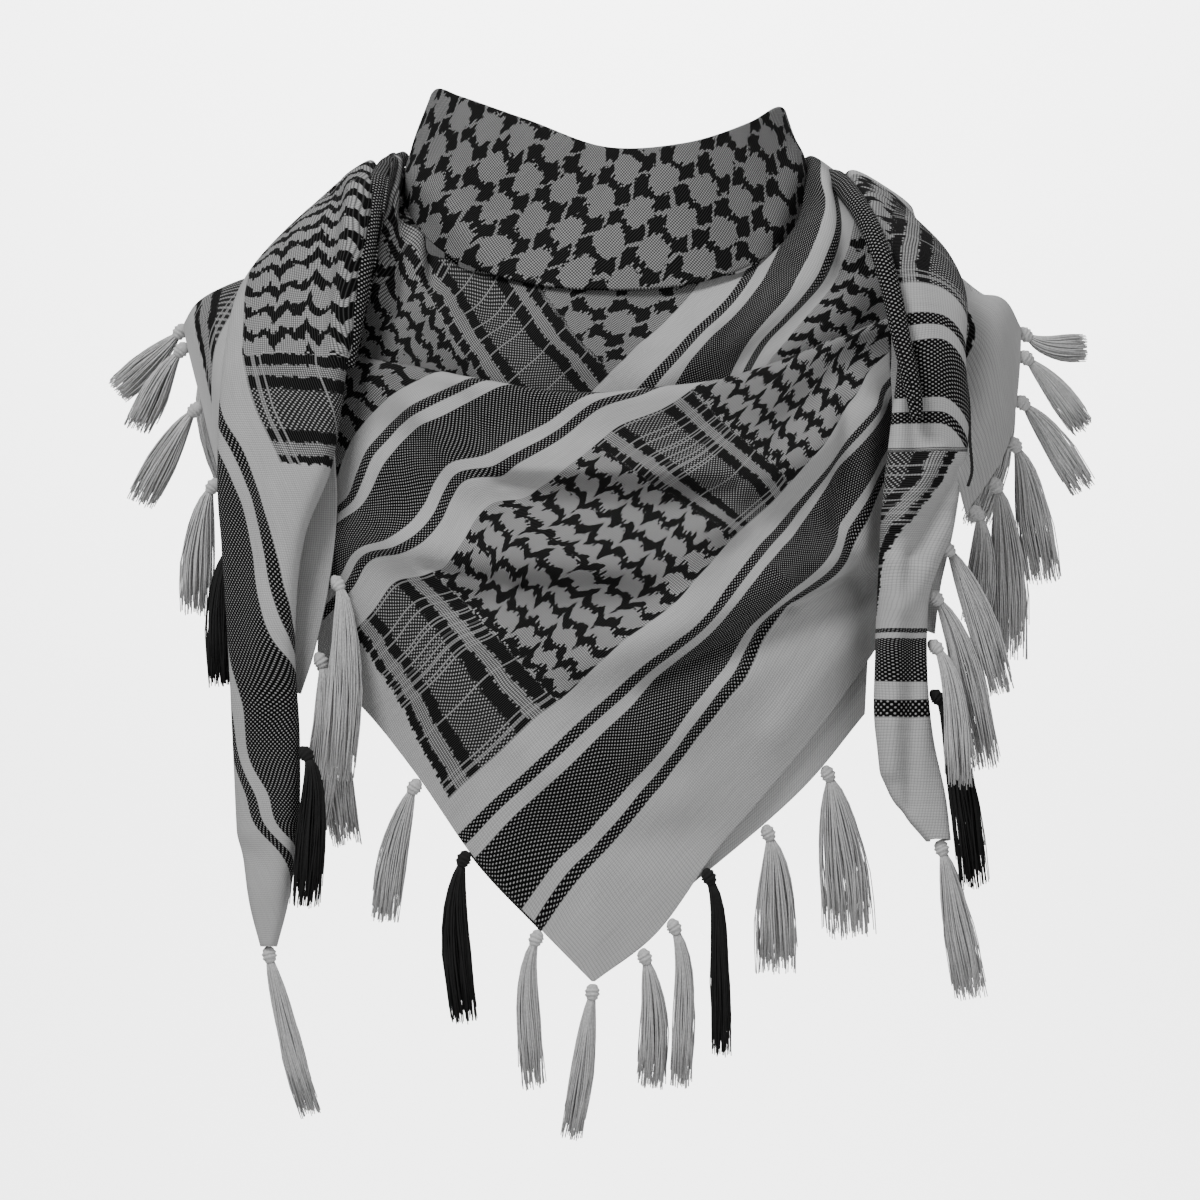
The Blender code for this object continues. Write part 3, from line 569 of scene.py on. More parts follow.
def flatPlaceOnCowl(x, z):
    # reads the table above: along a stripe and in from the hem, both when the cloth is flat
    marks = readTable(cowl["figureRuns"], z)
    blockLeft, blockRight, stripes = marks[..., 0], marks[..., 1], marks[..., 2:]
    flat = cowl["figurePlaces"]
    inFromHem = flat[0] + cowl["beyondStripes"][0] * (stripes[..., 0] - x)
    for k in range(4):
        share = (x - stripes[..., k]) / (stripes[..., k + 1] - stripes[..., k])
        inFromHem = np.where(share > 0, flat[k] + (flat[k + 1] - flat[k]) * share, inFromHem)
    further = flat[4] - cowl["beyondStripes"][1] * (x - stripes[..., 4])
    inFromHem = np.where(x > stripes[..., 4], further, inFromHem)
    start, width = weave["blockStarts"][2], weave["bars"][-1][1]
    share = (x - blockLeft) / (blockRight - blockLeft)
    leftward, rightward, upward = cowl["beyondBlock"]
    along = start + width * np.maximum(share, 0) + leftward * np.minimum(x - blockLeft, 0)
    lowest = cowl["figureRuns"][0][0]
    past = start + width + rightward * (x - blockRight) + upward * np.maximum(z - lowest, 0)
    along = np.where(share > 1, past, along)
    return np.stack([along, inFromHem], axis=-1)


def makeCowl():
    rows = np.array(cowl["rows"], float)
    stations = np.linspace(rows[0, 0], rows[-1, 0], cowl["grid"][0])
    angle, out, up, *rest = smoothLine(rows[:, 0], rows[:, 1:], stations).T
    hem = collarAt(angle)[:, 2]
    radius = np.hypot(hem[:, 0], hem[:, 1]) + out
    upper = roundNeck(angle, radius, hem[:, 2] + up)
    middle, outer = np.stack(rest[:3], axis=1), np.stack(rest[3:], axis=1)
    grid = across(np.arange(3), np.stack([upper, middle, outer], axis=1), cowl["grid"][1])
    place = flatPlaceOnCowl(grid[:, :, 0], grid[:, :, 2])
    grid = creased(grid, cowl["creases"])
    piece = "cowl_cloth", grid, place, cowl["thickness"], "patterned_cotton", ["cowl"]
    clothPiece(*piece, cowl["cut"])


makeCowl()
print("cowl made")


# Bib: the front of the folded square, from its rolled upper fold down to its point

bib = {
    "grid": (190, 170),  # across, and from the fold down
    "thickness": 1.2,
    # station, fold x, fold z, fold y, hem x, hem z, hem y
    "left": [
        (0, -140, -92, -86, -144, -250, -86),
        (1, -117, -95, -105, -120, -270, -100),
        (2, -88, -100, -120, -93.5, -303, -112),
        (3, -57, -106, -129, -64, -345.5, -121),
        (4, -28, -111, -133, -33, -378.5, -126),
        (5, 0, -112, -134, -6, -406, -128),
    ],
    "right": [
        (5, 0, -112, -134, -6, -406, -128),
        (6, 28, -109, -132, 26, -381, -126),
        (7, 58, -105, -127, 55, -341, -121),
        (8, 90, -95, -117, 84, -307, -112),
        (9, 120, -82, -101, 112, -272, -99),
        (10, 143, -74, -82, 139, -234, -82),
    ],
    "middle": 5,
    "roll": 5.0,  # radius of the upper fold
    "tuck": 22.0,  # cloth that goes down behind it
    "chest": 7.0,
    "creases": [
        (-124, -124, -96, -134, 14, -4),
        (-50, -146, 72, -150, 12, 6.5),
        (-45, -163, 70, -168, 9, -5.5),
        (-130, -185, -85, -180, 14, 5),
        (-95, -190, 10, -198, 12, 6.5),
        (-70, -216, 20, -216, 12, -5.5),
        (-10, -246, 110, -196, 14, 7),
        (24, -258, 128, -208, 11, -7.5),
        (40, -190, 128, -118, 15, 5),
        (-6, -338, 42, -332, 13, -3),
        (90, -128, 128, -92, 10, -4),
        (-52, -156, 62, -159, 3.2, -3.2),
        (-50, -150, 60, -152.5, 3.2, 1.6),
        (-88, -198, -44, -207, 3, -3),
        (-44, -207, 6, -206, 3, -2.6),
        (24, -253, 96, -218, 4, -3),
        (96, -218, 128, -204, 4, -3.5),
        (-95, -118, -68, -156, 9, 3),
        (-74, -112, -50, -150, 6, -2.5),
        (52, -176, 104, -136, 8, 2.5),
        (62, -190, 118, -150, 7, -2.5),
        (-66, -262, -30, -300, 12, 2.5),
        (20, -290, 62, -256, 14, 3),
        (-30, -330, 30, -300, 12, -2),
        (86, -280, 118, -238, 10, 3),
        (132, -120, 128, -190, 6, 3),
        (120, -118, 116, -176, 5, -3),
    ],
    # Where the woven stripes run, read up and to the right: how far along, then how far down and
    # to the right the hem and the middle of each stripe lie
    "stripeRuns": [
        (-290, 282, 244, 186, 57, 27),
        (-260, 286, 238.7, 185.6, 57, 27),
        (-240, 286, 238.6, 187, 56.6, 27),
        (-217, 285, 236.5, 188.2, 54.8, 27),
        (-205, 285, 235.2, 188.7, 63.6, 26.3),
        (-194, 285, 234, 189.2, 67.2, 21),
        (-182, 285, 232, 190, 65.4, 15.5),
        (-170, 285, 229.8, 190.7, 60.1, 14.1),
        (-158, 287, 228, 191.5, 59.4, 15.5),
        (-144, 288, 226, 193, 69.7, 19.4),
        (-132, 288, 224.8, 194.2, 72.5, 23.5),
        (-110, 285, 220.5, 192.8, 77.8, 32),
        (-85, 275, 218.5, 190.3, 81.3, 44),
        (-66, 270, 220.5, 189.2, 90.9, 52),
        (-40, 265, 213.9, 186.2, 97, 55),
        (-10, 260, 205, 182, 100, 57),
        (20, 255, 200, 175, 100, 57),
    ],
    "stripePlaces": (0, 55.2, 108.7, 261, 314.7),  # how far in from the hem these lie when flat
    "narrowed": (12.0, 10.0),  # past the last stripe, this far takes up so much more flat cloth
    # The barred blocks: how far down and to the right, then how far along the two edges of each
    "blockEdges": [
        (20, -250, -203, -110, -50),
        (75, -252, -203, -104, -48),
        (175, -279, -205, -85, -49),
        (285, -300, -210, -80, -50),
    ],
    "blockPlaces": (40, 94, 212, 266),
    "cut": {"flat": (0.30, 0.34), "area": 0.084, "held": "draped", "rests_on": ["under_bib"]},
}


def bibRows(stations):
    left, right = np.array(bib["left"], float), np.array(bib["right"], float)
    onLeft = smoothLine(left[:, 0], left[:, 1:], np.minimum(stations, bib["middle"]))
    onRight = smoothLine(right[:, 0], right[:, 1:], np.maximum(stations, bib["middle"]))
    rows = np.where((stations <= bib["middle"])[:, None], onLeft, onRight)
    return rows[:, [0, 2, 1]], rows[:, [3, 5, 4]]


def flatPlaceOnBib(x, z):
    # reads the two tables above: along a stripe and in from the hem, both when the cloth is flat
    upRight, downRight = (x + z) / math.sqrt(2), (x - z) / math.sqrt(2)
    runs = np.array(bib["stripeRuns"], float)
    lines = readTable(runs, upRight)
    lines = np.flip(lines, axis=-1)
    flat = np.flip(np.array(bib["stripePlaces"], float))
    beyond = lines[..., 0] - downRight
    reach, more = bib["narrowed"]
    inFromHem = flat[0] + beyond + more * np.clip(beyond / reach, 0, 1)
    for k in range(4):
        share = (downRight - lines[..., k]) / (lines[..., k + 1] - lines[..., k])
        inFromHem = np.where(share > 0, flat[k] + (flat[k + 1] - flat[k]) * share, inFromHem)
    edges = np.array(bib["blockEdges"], float)
    marks = readTable(edges, downRight)
    along = np.full(x.shape, float(bib["blockPlaces"][0])) + (upRight - marks[..., 0])
    for k in range(3):
        share = (upRight - marks[..., k]) / (marks[..., k + 1] - marks[..., k])
        flatAlong = bib["blockPlaces"][k] + (bib["blockPlaces"][k + 1] - bib["blockPlaces"][k]) * share
        along = np.where(share > 0, flatAlong, along)
    past = upRight - marks[..., 3]
    along = np.where(past > 0, bib["blockPlaces"][3] + past, along)
    return np.stack([along, inFromHem], axis=-1)


def makeBib():
    stations = np.linspace(0, 2 * bib["middle"], bib["grid"][0])
    fold, hem = bibRows(stations)
    roll = bib["roll"]
    centre = fold + (0, roll, -roll)
    turns = np.linspace(math.pi, 0, 9)
    rolled = [np.zeros(9), -roll * np.cos(turns), roll * np.sin(turns)]
    tucked = np.linspace(bib["tuck"], 2, 9)
    behind = np.stack([np.zeros(9), np.full(9, roll), -tucked], axis=1)
    over = np.concatenate([behind, np.stack(rolled, axis=1)])
    top = centre[:, None] + over[None]
    share = np.linspace(0, 1, bib["grid"][1])[1:, None]
    bulge = np.sin(math.pi * share) * (0, bib["chest"], 0)
    front = top[:, -1:] * (1 - share) + hem[:, None] * share - bulge
    grid = np.concatenate([top, front], axis=1)
    # unrolled: the cloth behind the fold counts as lying above it
    reach = arcLength(grid, 1)
    start = reach[:, len(over) - 1 : len(over)]
    flatZ = np.where(np.arange(grid.shape[1]) < len(over), top[:, -1:, 2] + (start - reach), grid[:, :, 2])
    place = flatPlaceOnBib(grid[:, :, 0], flatZ)
    grid = creased(grid, bib["creases"])
    piece = "bib_cloth", grid, place, bib["thickness"], "patterned_cotton", ["bib"]
    clothPiece(*piece, bib["cut"])


makeBib()
print("bib made")


# Under bib: the square's second layer, plain where it shows

underBib = {
    "grid": (120, 60),
    "thickness": 1.2,
    # station, top x, top z, top y, hem x, hem z, hem y
    "rows": [
        (0, -138, -128, -79, -134, -240, -81),
        (1, -92, -135, -106, -86, -294, -104),
        (2, -46, -142, -121, -40, -352, -117),
        (3, 0, -145, -125, 2, -388, -124),
        (4, 48, -142, -119, 47, -354, -117),
        (5, 98, -130, -103, 97, -311, -103),
        (6, 138, -116, -75, 130, -272, -86),
    ],
    "flatShare": 0.7,  # square to the hem, in the distance down the front
    "cut": {"flat": (0.29, 0.25), "area": 0.0545, "held": "draped", "rests_on": ["bib"]},
}


def makeUnderBib():
    rows = np.array(underBib["rows"], float)
    stations = np.linspace(rows[0, 0], rows[-1, 0], underBib["grid"][0])
    values = smoothLine(rows[:, 0], rows[:, 1:], stations)
    top, hem = values[:, [0, 2, 1]], values[:, [3, 5, 4]]
    share = np.linspace(0, 1, underBib["grid"][1])[:, None]
    grid = top[:, None] * (1 - share) + hem[:, None] * share
    reach = arcLength(grid, 1)
    place = np.stack([grid[:, :, 0], (reach[:, -1:] - reach) * underBib["flatShare"]], axis=2)
    piece = "under_bib_cloth", grid, place, underBib["thickness"], "grey_cotton", ["under_bib"]
    clothPiece(*piece, underBib["cut"])


makeUnderBib()
print("under bib made")


# Wings and back: sheets over the shoulders and below the nape

wings = {
    "grid": (110, 64),
    "thickness": 1.2,
    # station, then points from beside the neck down to the hem
    "left": [
        (0, (-108, -46, -30), (-126, -54, -54), (-149, -62, -84),
         (-165, -67, -116), (-176, -67, -154), (-183, -68, -194)),
        (1, (-108, -22, -19), (-138, -32, -40), (-166, -38, -60),
         (-186, -42, -84), (-194, -44, -106), (-200, -46, -126)),
        (2, (-108, 5, -18), (-138, 2, -35), (-166, 0, -48), (-190, 0, -57), (-204, 0, -65), (-211, 0, -76)),
        (3, (-104, 30, -20), (-130, 40, -38), (-152, 46, -58),
         (-172, 52, -76), (-184, 56, -92), (-190, 58, -106)),
        (4, (-90, 55, -26), (-106, 70, -46), (-122, 80, -68),
         (-132, 86, -90), (-138, 89, -112), (-141, 91, -132)),
    ],
    "right": [
        (0, (108, -48, -30), (128, -62.3, -47), (146, -64.0, -80),
         (160, -58, -112), (172, -56, -144), (181, -57, -172)),
        (1, (108, -22, -20), (138, -32, -42), (166, -40, -58),
         (188, -42, -84), (198, -42, -110), (203, -42, -134)),
        (2, (108, 5, -16.5), (140, 2, -34), (164, 0, -42), (188, 0, -60), (200, 0, -68), (208, 0, -78)),
        (3, (104, 30, -20), (130, 40, -38), (152, 46, -58), (174, 52, -78), (188, 56, -96), (193, 58, -112)),
        (4, (90, 55, -26), (106, 70, -46), (122, 80, -68), (132, 86, -90), (138, 89, -112), (141, 91, -132)),
    ],
    "back": [
        (0, (-89, 56, -26), (-105, 71, -46), (-121, 81, -68),
         (-131, 87, -90), (-137, 90, -112), (-140, 92, -132)),
        (1, (-50, 77, -34), (-58, 86, -56), (-65, 92, -80),
         (-72, 96, -104), (-76, 99, -124), (-79, 101, -146)),
        (2, (0, 86, -44), (0, 93, -64), (0, 97, -86), (0, 100, -108), (0, 102, -130), (0, 103, -152)),
        (3, (50, 77, -34), (58, 86, -56), (65, 92, -80), (72, 96, -104), (76, 99, -124), (79, 101, -146)),
        (4, (89, 56, -26), (105, 71, -46), (121, 81, -68), (131, 87, -90), (137, 90, -112), (140, 92, -132)),
    ],
    "leftCreases": [(-200, -78, -184, -128, 8, 3)],
    "rightCreases": [(196, -68, 180, -150, 11, 4), (184, -62, 168, -140, 9, -4)],
    "backCreases": [(-60, -70, -70, -140, 10, 4), (0, -70, 4, -146, 11, -4), (58, -70, 66, -140, 10, 4)],
    # where a wing lies when flat: along the stripes at its hem, in from the other hem at its front,
    # and how much further in each millimetre towards the back is
    "leftPlaces": (28.0, 82.0, 0.8),
    "rightPlaces": (-16.0, 134.0, 0.5),
    # the back's half width, how far in its sides lie, and how much further in each millimetre is
    "backPlaces": (140.0, 205.0, 0.9),
    "leftCut": {"flat": (0.24, 0.17), "area": 0.0235, "held": "draped", "rests_on": ["left_tail"]},
    "rightCut": {"flat": (0.24, 0.17), "area": 0.0245, "held": "draped", "rests_on": ["right_tail"]},
    "backCut": {"flat": (0.30, 0.13), "area": 0.03, "held": "draped", "rests_on": ["right_tail"]},
}


def makeWing(side):
    grid = lattice(wings[side], wings["grid"])
    reach = arcLength(grid, 1)
    run = arcLength(grid, 0)
    fromHem = reach[:, -1:] - reach
    start, atFront, slope = wings[side + "Places"]
    place = np.stack([start + fromHem, atFront + slope * run], axis=2)
    grid = creased(grid, wings[side + "Creases"])
    piece = side + "_wing_cloth", grid, place, wings["thickness"], "grey_cotton", [side + "_wing"]
    clothPiece(*piece, wings[side + "Cut"])


def makeBack():
    grid = lattice(wings["back"], wings["grid"])
    reach = arcLength(grid, 1)
    # the weave goes on from one wing to the other
    x = grid[:, :, 0]
    halfWide, atEdge, slope = wings["backPlaces"]
    left, right = wings["leftPlaces"][0], wings["rightPlaces"][0]
    start = left + (right - left) * (x + halfWide) / (2 * halfWide)
    place = np.stack([start + reach[:, -1:] - reach, atEdge + slope * (halfWide - np.abs(x))], axis=2)
    grid = creased(grid, wings["backCreases"], front=False)
    piece = "back_cloth", grid, place, wings["thickness"], "grey_cotton", ["back"]
    clothPiece(*piece, wings["backCut"])


makeWing("left")
makeWing("right")
makeBack()
print("wings and back made")


# Tails: the scarf's two ends, crossed behind the neck and hanging in front

tails = {
    "grid": (56, 300),
    "thickness": 1.2,
    "slit": 26.0,  # degrees left open on each side of the inner side's middle
    "square": 0.72,  # below 1 flattens the two broad sides
    # distance along, left or lower edge x, y, z, right or upper edge x, y, z, thickness
    "left": [
        (-330, 94, 64, -22, 85, 61, -6, 4),
        (-280, 66, 92, -38, 54, 88, -14, 6),
        (-235, 34, 109, -50, 27, 103, -20, 8),
        (-195, 0, 120, -70, 0, 108, -26, 11),
        (-125, -86, 119, -86, -56, 108, -26, 12),
        (-56, -146, 78, -62, -108, 72, -8, 10),
        (0, -164, 22, -42, -117, 22, 4, 8),
        (45, -173, -24, -47, -116, -28, 3, 10),
        (90, -184, -58, -66, -120, -82, -16, 13),
        (140, -190, -78, -100, -127, -110, -58, 15),
        (190, -192, -90, -140, -133, -121, -116, 20),
        (215, -192, -93, -163, -138, -122, -147, 20),
        (245, -190, -95, -188, -151, -122, -180, 16),
        (290, -186.5, -100, -235, -157, -121, -230, 16),
        (340, -184, -103, -285, -154, -121, -285, 15),
        (390, -180, -106, -335, -155, -119, -335, 14),
        (424, -176, -109, -368, -160, -117, -368, 12),
        (446, -171, -112, -388, -165, -115, -388, 7),
    ],
    "right": [
        (-290, -104, 97, -88, -92, 92, -66, 3),
        (-235, -56, 109, -102, -50, 101, -66, 5),
        (-175, 0, 112, -108, 0, 102, -62, 6),
        (-142, 42, 112, -102, 32, 105, -60, 6),
        (-110, 86, 108, -92, 64, 100, -50, 7),
        (-50, 142, 74, -58, 110, 70, -20, 9),
        (0, 153, 24, -21, 122, 22, 0, 7),
        (45, 157, -26, -28, 126, -26, -8, 9),
        (90, 173, -60, -47, 137, -70, -30, 13),
        (130, 180, -76, -66, 143, -94, -60, 14),
        (165, 179, -87, -94, 147, -105, -94, 15),
        (200, 181, -91, -128, 144, -109, -128, 15),
        (235, 176, -95, -162, 140, -111, -163, 15),
        (275, 162, -101, -202, 138, -112, -202, 15),
        (315, 160, -105, -242, 136, -113, -242, 14),
        (355, 163, -107, -282, 136, -113, -282, 13),
        (390, 170, -108, -316, 145, -112, -316, 11),
        (410, 172, -109, -335, 161, -112, -335, 8),
    ],
    "leftCreases": [
        (-124, -10, -133, -90, 7, 4),
        (-135, -12, -143, -90, 6, -4),
        (-163, -120, -176, -330, 9, 3),
    ],
    "leftBackCreases": [
        (-110, -34, -10, -70, 9, 4),
        (-100, -18, 0, -50, 7, -4),
    ],
    "rightCreases": [
        (142, -22, 154, -90, 6, -3),
        (154, -92, 156, -140, 6, -4),
        (166, -142, 148, -176, 5, 4),
        (178, -150, 154, -192, 4, -4),
        (172, -178, 150, -218, 5, 3),
        (146, -196, 143, -300, 4, 3),
        (154, -236, 152, -318, 4, -3),
    ],
    # distance along, how far in from the hem the left and right edges lie when flat
    "leftPlaces": [
        (-330, 150, 190),
        (0, 130, 185),
        (60, 124, 182),
        (110, 118, 182),
        (175, 102, 181),
        (208, 80, 162),
        (250, 68, 127),
        (293, 60, 109),
        (322, 54, 90),
        (345, 47, 97),
        (367, 36, 85),
        (380, 32, 82),
        (397, 20, 62),
        (424, 8, 45),
        (446, 5, 30),
    ],
    "leftBlockEnd": 208.0,  # how far along its barred block ends
    "leftStretch": 1.06,  # flat cloth in each millimetre along it
    "leftLevel": 60.0,  # past this distance along its figures run level
    # distance along below its cut edge: in from the hem, and where across the front the barred
    # block's ragged edge runs
    "rightPlaces": [
        (212, 235, 171),
        (232, 210, 161),
        (247, 190, 151),
        (267, 170, 141),
        (288, 150, 138),
        (298, 125, 136),
        (307, 99, 134),
        (329, 66, 134),
        (338, 58, 134),
        (349, 50, 134),
        (410, 5, 134),
    ],
    "rightCutEdge": 212.0,
    "rightStripe": (147.0, 108.7, -1.08),  # a stripe's distance along, its place, and the slope
    "rightBend": 24.0,  # how far the stripes bend down towards the outer edge
    "rightBlockEdge": 144.0,  # where across the front the upper barred block starts
    "leftCut": {"flat": (0.13, 0.80), "area": 0.071, "held": "folded", "rests_on": ["bib"]},
    "rightCut": {"flat": (0.10, 0.72), "area": 0.0475, "held": "folded", "rests_on": ["bib"]},
}


def tailRings(table, distances):
    # the middle, half width and outward direction of a tail, worked out at each distance
    rows = np.array(table, float)
    at = smoothLine(rows[:, 0], rows[:, 1:], distances)
    before = smoothLine(rows[:, 0], rows[:, 1:], distances - 1)
    after = smoothLine(rows[:, 0], rows[:, 1:], distances + 1)
    middle, half = (at[:, 0:3] + at[:, 3:6]) / 2, (at[:, 3:6] - at[:, 0:3]) / 2
    run = (after[:, 0:3] + after[:, 3:6] - before[:, 0:3] - before[:, 3:6]) / 2
    out = unit(np.cross(half, run))
    side = np.sign(((out * (middle - figureCentre)).sum(axis=1)))[:, None]
    return middle, half, out * side, at[:, 6:7]


def makeTail(side):
    table = tails[side]
    distances = np.linspace(table[0][0], table[-1][0], tails["grid"][1])
    middle, half, out, thickness = tailRings(table, distances)
    turns = np.radians(np.linspace(-90 + tails["slit"], 270 - tails["slit"], tails["grid"][0]))
    wide = np.sign(np.cos(turns)) * np.abs(np.cos(turns)) ** tails["square"]
    deep = np.sign(np.sin(turns)) * np.abs(np.sin(turns)) ** tails["square"]
    flatRing = middle + wide[:, None, None] * half
    grid = flatRing + deep[:, None, None] * out * thickness / 2
    # how far across the front the cloth lies, going on past each edge round to the back
    reach = arcLength(grid, 0)
    second, first = np.abs(turns).argmin(), np.abs(turns - math.pi).argmin()
    share = (reach[first] - reach) / (reach[first] - reach[second])
    firstX, secondX = middle[:, 0] - half[:, 0], middle[:, 0] + half[:, 0]
    if side == "left":
        atLeft, atRight = np.moveaxis(readTable(tails["leftPlaces"], distances), -1, 0)
        inFromHem = atLeft + (atRight - atLeft) * share
        lean = (flatRing[:, :, 2] - middle[:, 2]) * np.clip(distances / tails["leftLevel"], 0, 1)
        beforeEnd = tails["leftBlockEnd"] - distances + lean
        along = weave["blockStarts"][2] + tails["leftStretch"] * beforeEnd
        place = np.stack([along, inFromHem], axis=2)
    else:
        x = firstX + (secondX - firstX) * share
        at, stripe, slope = tails["rightStripe"]
        bend = tails["rightBend"] * np.clip((0.5 - share) / 0.5, 0, 1.3) ** 2
        inFromHem = stripe + slope * (distances - at - bend)
        along = weave["blockStarts"][1] + x - tails["rightBlockEdge"]
        above = np.stack([along, inFromHem], axis=2)
        inFromHem, edge = np.moveaxis(readTable(tails["rightPlaces"], distances), -1, 0)
        below = np.stack([weave["blockStarts"][0] + edge - x, inFromHem + 0 * x], axis=2)
        place = np.where((distances < tails["rightCutEdge"])[None, :, None], above, below)
    grid = creased(grid, tails[side + "Creases"])
    if side == "left":
        grid = creased(grid, tails["leftBackCreases"], front=False)
    piece = side + "_tail_cloth", grid, place, tails["thickness"], "patterned_cotton", [side + "_tail"]
    clothPiece(*piece, tails[side + "Cut"])


makeTail("left")
makeTail("right")

# Rolls: a twist of the scarf's own cloth that runs down beside each tail, from the neck to the bib

rolls = {
    "grid": (28, 150),
    "thickness": 1.0,
    "sink": 1.5,  # how deep a roll's spine lies below the line of points
    "twist": 0.35,  # its turn from one point to the next, in radians
    "leftTurn": 2.2,  # where its lap starts
    "rightTurn": 4.0,
    "lap": 0.16,  # how much its inner end is nearer the spine
    "flatShare": 0.7,
    # points down its middle, then its radius there
    "left": [
        (-103, 24, 8.5, 3.5),
        (-108, 6, 5.5, 5.0),
        (-111, -24, 2.5, 5.5),
        (-115, -60, -7, 6.0),
        (-119, -84, -25, 6.5),
        (-122.5, -101, -45, 6.5),
        (-125.5, -110, -65, 6.0),
        (-128, -114, -82, 5.5),
        (-130.5, -117, -98, 4.5),
    ],
    "right": [
        (110, 26, 0, 3.0),
        (114, 6, -1.5, 4.5),
        (119, -26, -4, 5.0),
        (126.5, -56, -14, 5.0),
        (133.5, -77, -27, 5.0),
        (139.5, -92, -43, 5.0),
        (144.5, -102, -62, 5.0),
        (149.5, -110, -86, 4.6),
        (154.5, -115, -108, 4.2),
        (157, -116, -124, 3.0),
    ],
    # how far in from the hem its cloth lies when flat, and how far along it starts
    "leftPlaces": (288.0, 1150.0),
    "rightPlaces": (288.0, 1300.0),
    "leftCut": {"flat": (0.045, 0.16), "area": 0.0067, "held": "folded", "rests_on": ["left_tail"]},
    "rightCut": {"flat": (0.036, 0.18), "area": 0.0061, "held": "folded", "rests_on": ["right_tail"]},
}


def makeRoll(side):
    # a tube of cloth with a lap along its inner side, slightly twisted
    table = np.array(rolls[side], float)
    stations = np.arange(len(table), dtype=float)
    at = np.linspace(0, len(table) - 1, rolls["grid"][1])
    values = smoothLine(stations, table, at)
    spine, radius = values[:, :3], values[:, 3:4]
    along = unit(np.gradient(spine, axis=0))
    out = spine - figureCentre
    out = unit(out - (out * along).sum(axis=1, keepdims=True) * along)
    sideways = np.cross(along, out)
    turns = np.linspace(0, 2 * math.pi, rolls["grid"][0])[:, None]
    twist = rolls["twist"] * at[None, :] + rolls[side + "Turn"]
    lap = 1 - rolls["lap"] * turns / (2 * math.pi)
    ringed = (radius[:, 0] * lap)[..., None]
    turned = (turns + twist)[..., None]
    grid = spine + ringed * (np.cos(turned) * sideways + np.sin(turned) * out)
    grid = grid - out * rolls["sink"]
    inward, start = rolls[side + "Places"]
    run = arcLength(spine[None], 1)[0]
    acrossRoll = (turns - math.pi) * radius[:, 0] * rolls["flatShare"]
    place = np.stack([start + run + 0 * turns, inward + acrossRoll], axis=2)
    piece = side + "_roll_cloth", grid, place, rolls["thickness"], "patterned_cotton", []
    clothPiece(*piece, rolls[side + "Cut"])


makeRoll("left")
makeRoll("right")

underTails = {
    "grid": (60, 40),
    "thickness": 1.2,
    # station, then points from behind the tail out to the hem
    "left": [
        (0, (-172.9, -88, -128), (-152, -98, -134), (-135, -104, -140)),
        (1, (-173.8, -90, -165), (-154, -99, -168), (-134, -105, -172)),
        (2, (-172, -93, -200), (-156, -101, -204), (-138, -106, -208)),
        (3, (-170, -96, -232), (-158, -102, -236), (-145, -106, -240)),
        (4, (-168, -98, -258), (-160, -101, -260), (-152, -104, -262)),
    ],
    "right": [
        (0, (150, -89, -140), (165, -86.3, -150), (178, -82.3, -158)),
        (1, (150, -93, -170), (164, -90.4, -176), (174, -87.3, -182)),
        (2, (150, -94.3, -200), (160, -92.3, -204), (168, -90.3, -208)),
        (3, (151, -95.3, -228), (159, -94.3, -230), (165, -92.3, -232)),
    ],
    "leftCut": {"flat": (0.045, 0.135), "area": 0.0046, "held": "folded", "rests_on": ["left_tail"]},
    "rightCut": {"flat": (0.03, 0.095), "area": 0.002, "held": "folded", "rests_on": ["right_tail"]},
}


def makeUnderTail(side):
    grid = lattice(underTails[side], underTails["grid"])
    reach = arcLength(grid, 1)
    place = np.stack([grid[:, :, 2], reach[:, -1:] - reach], axis=2)
    name = side + "_under_tail"
    piece = name + "_cloth", grid, place, underTails["thickness"], "grey_cotton", [name]
    clothPiece(*piece, underTails[side + "Cut"])


makeUnderTail("left")
makeUnderTail("right")
print("tails made")


# Tassels: a wrapped knot and a bundle of loose yarns on each

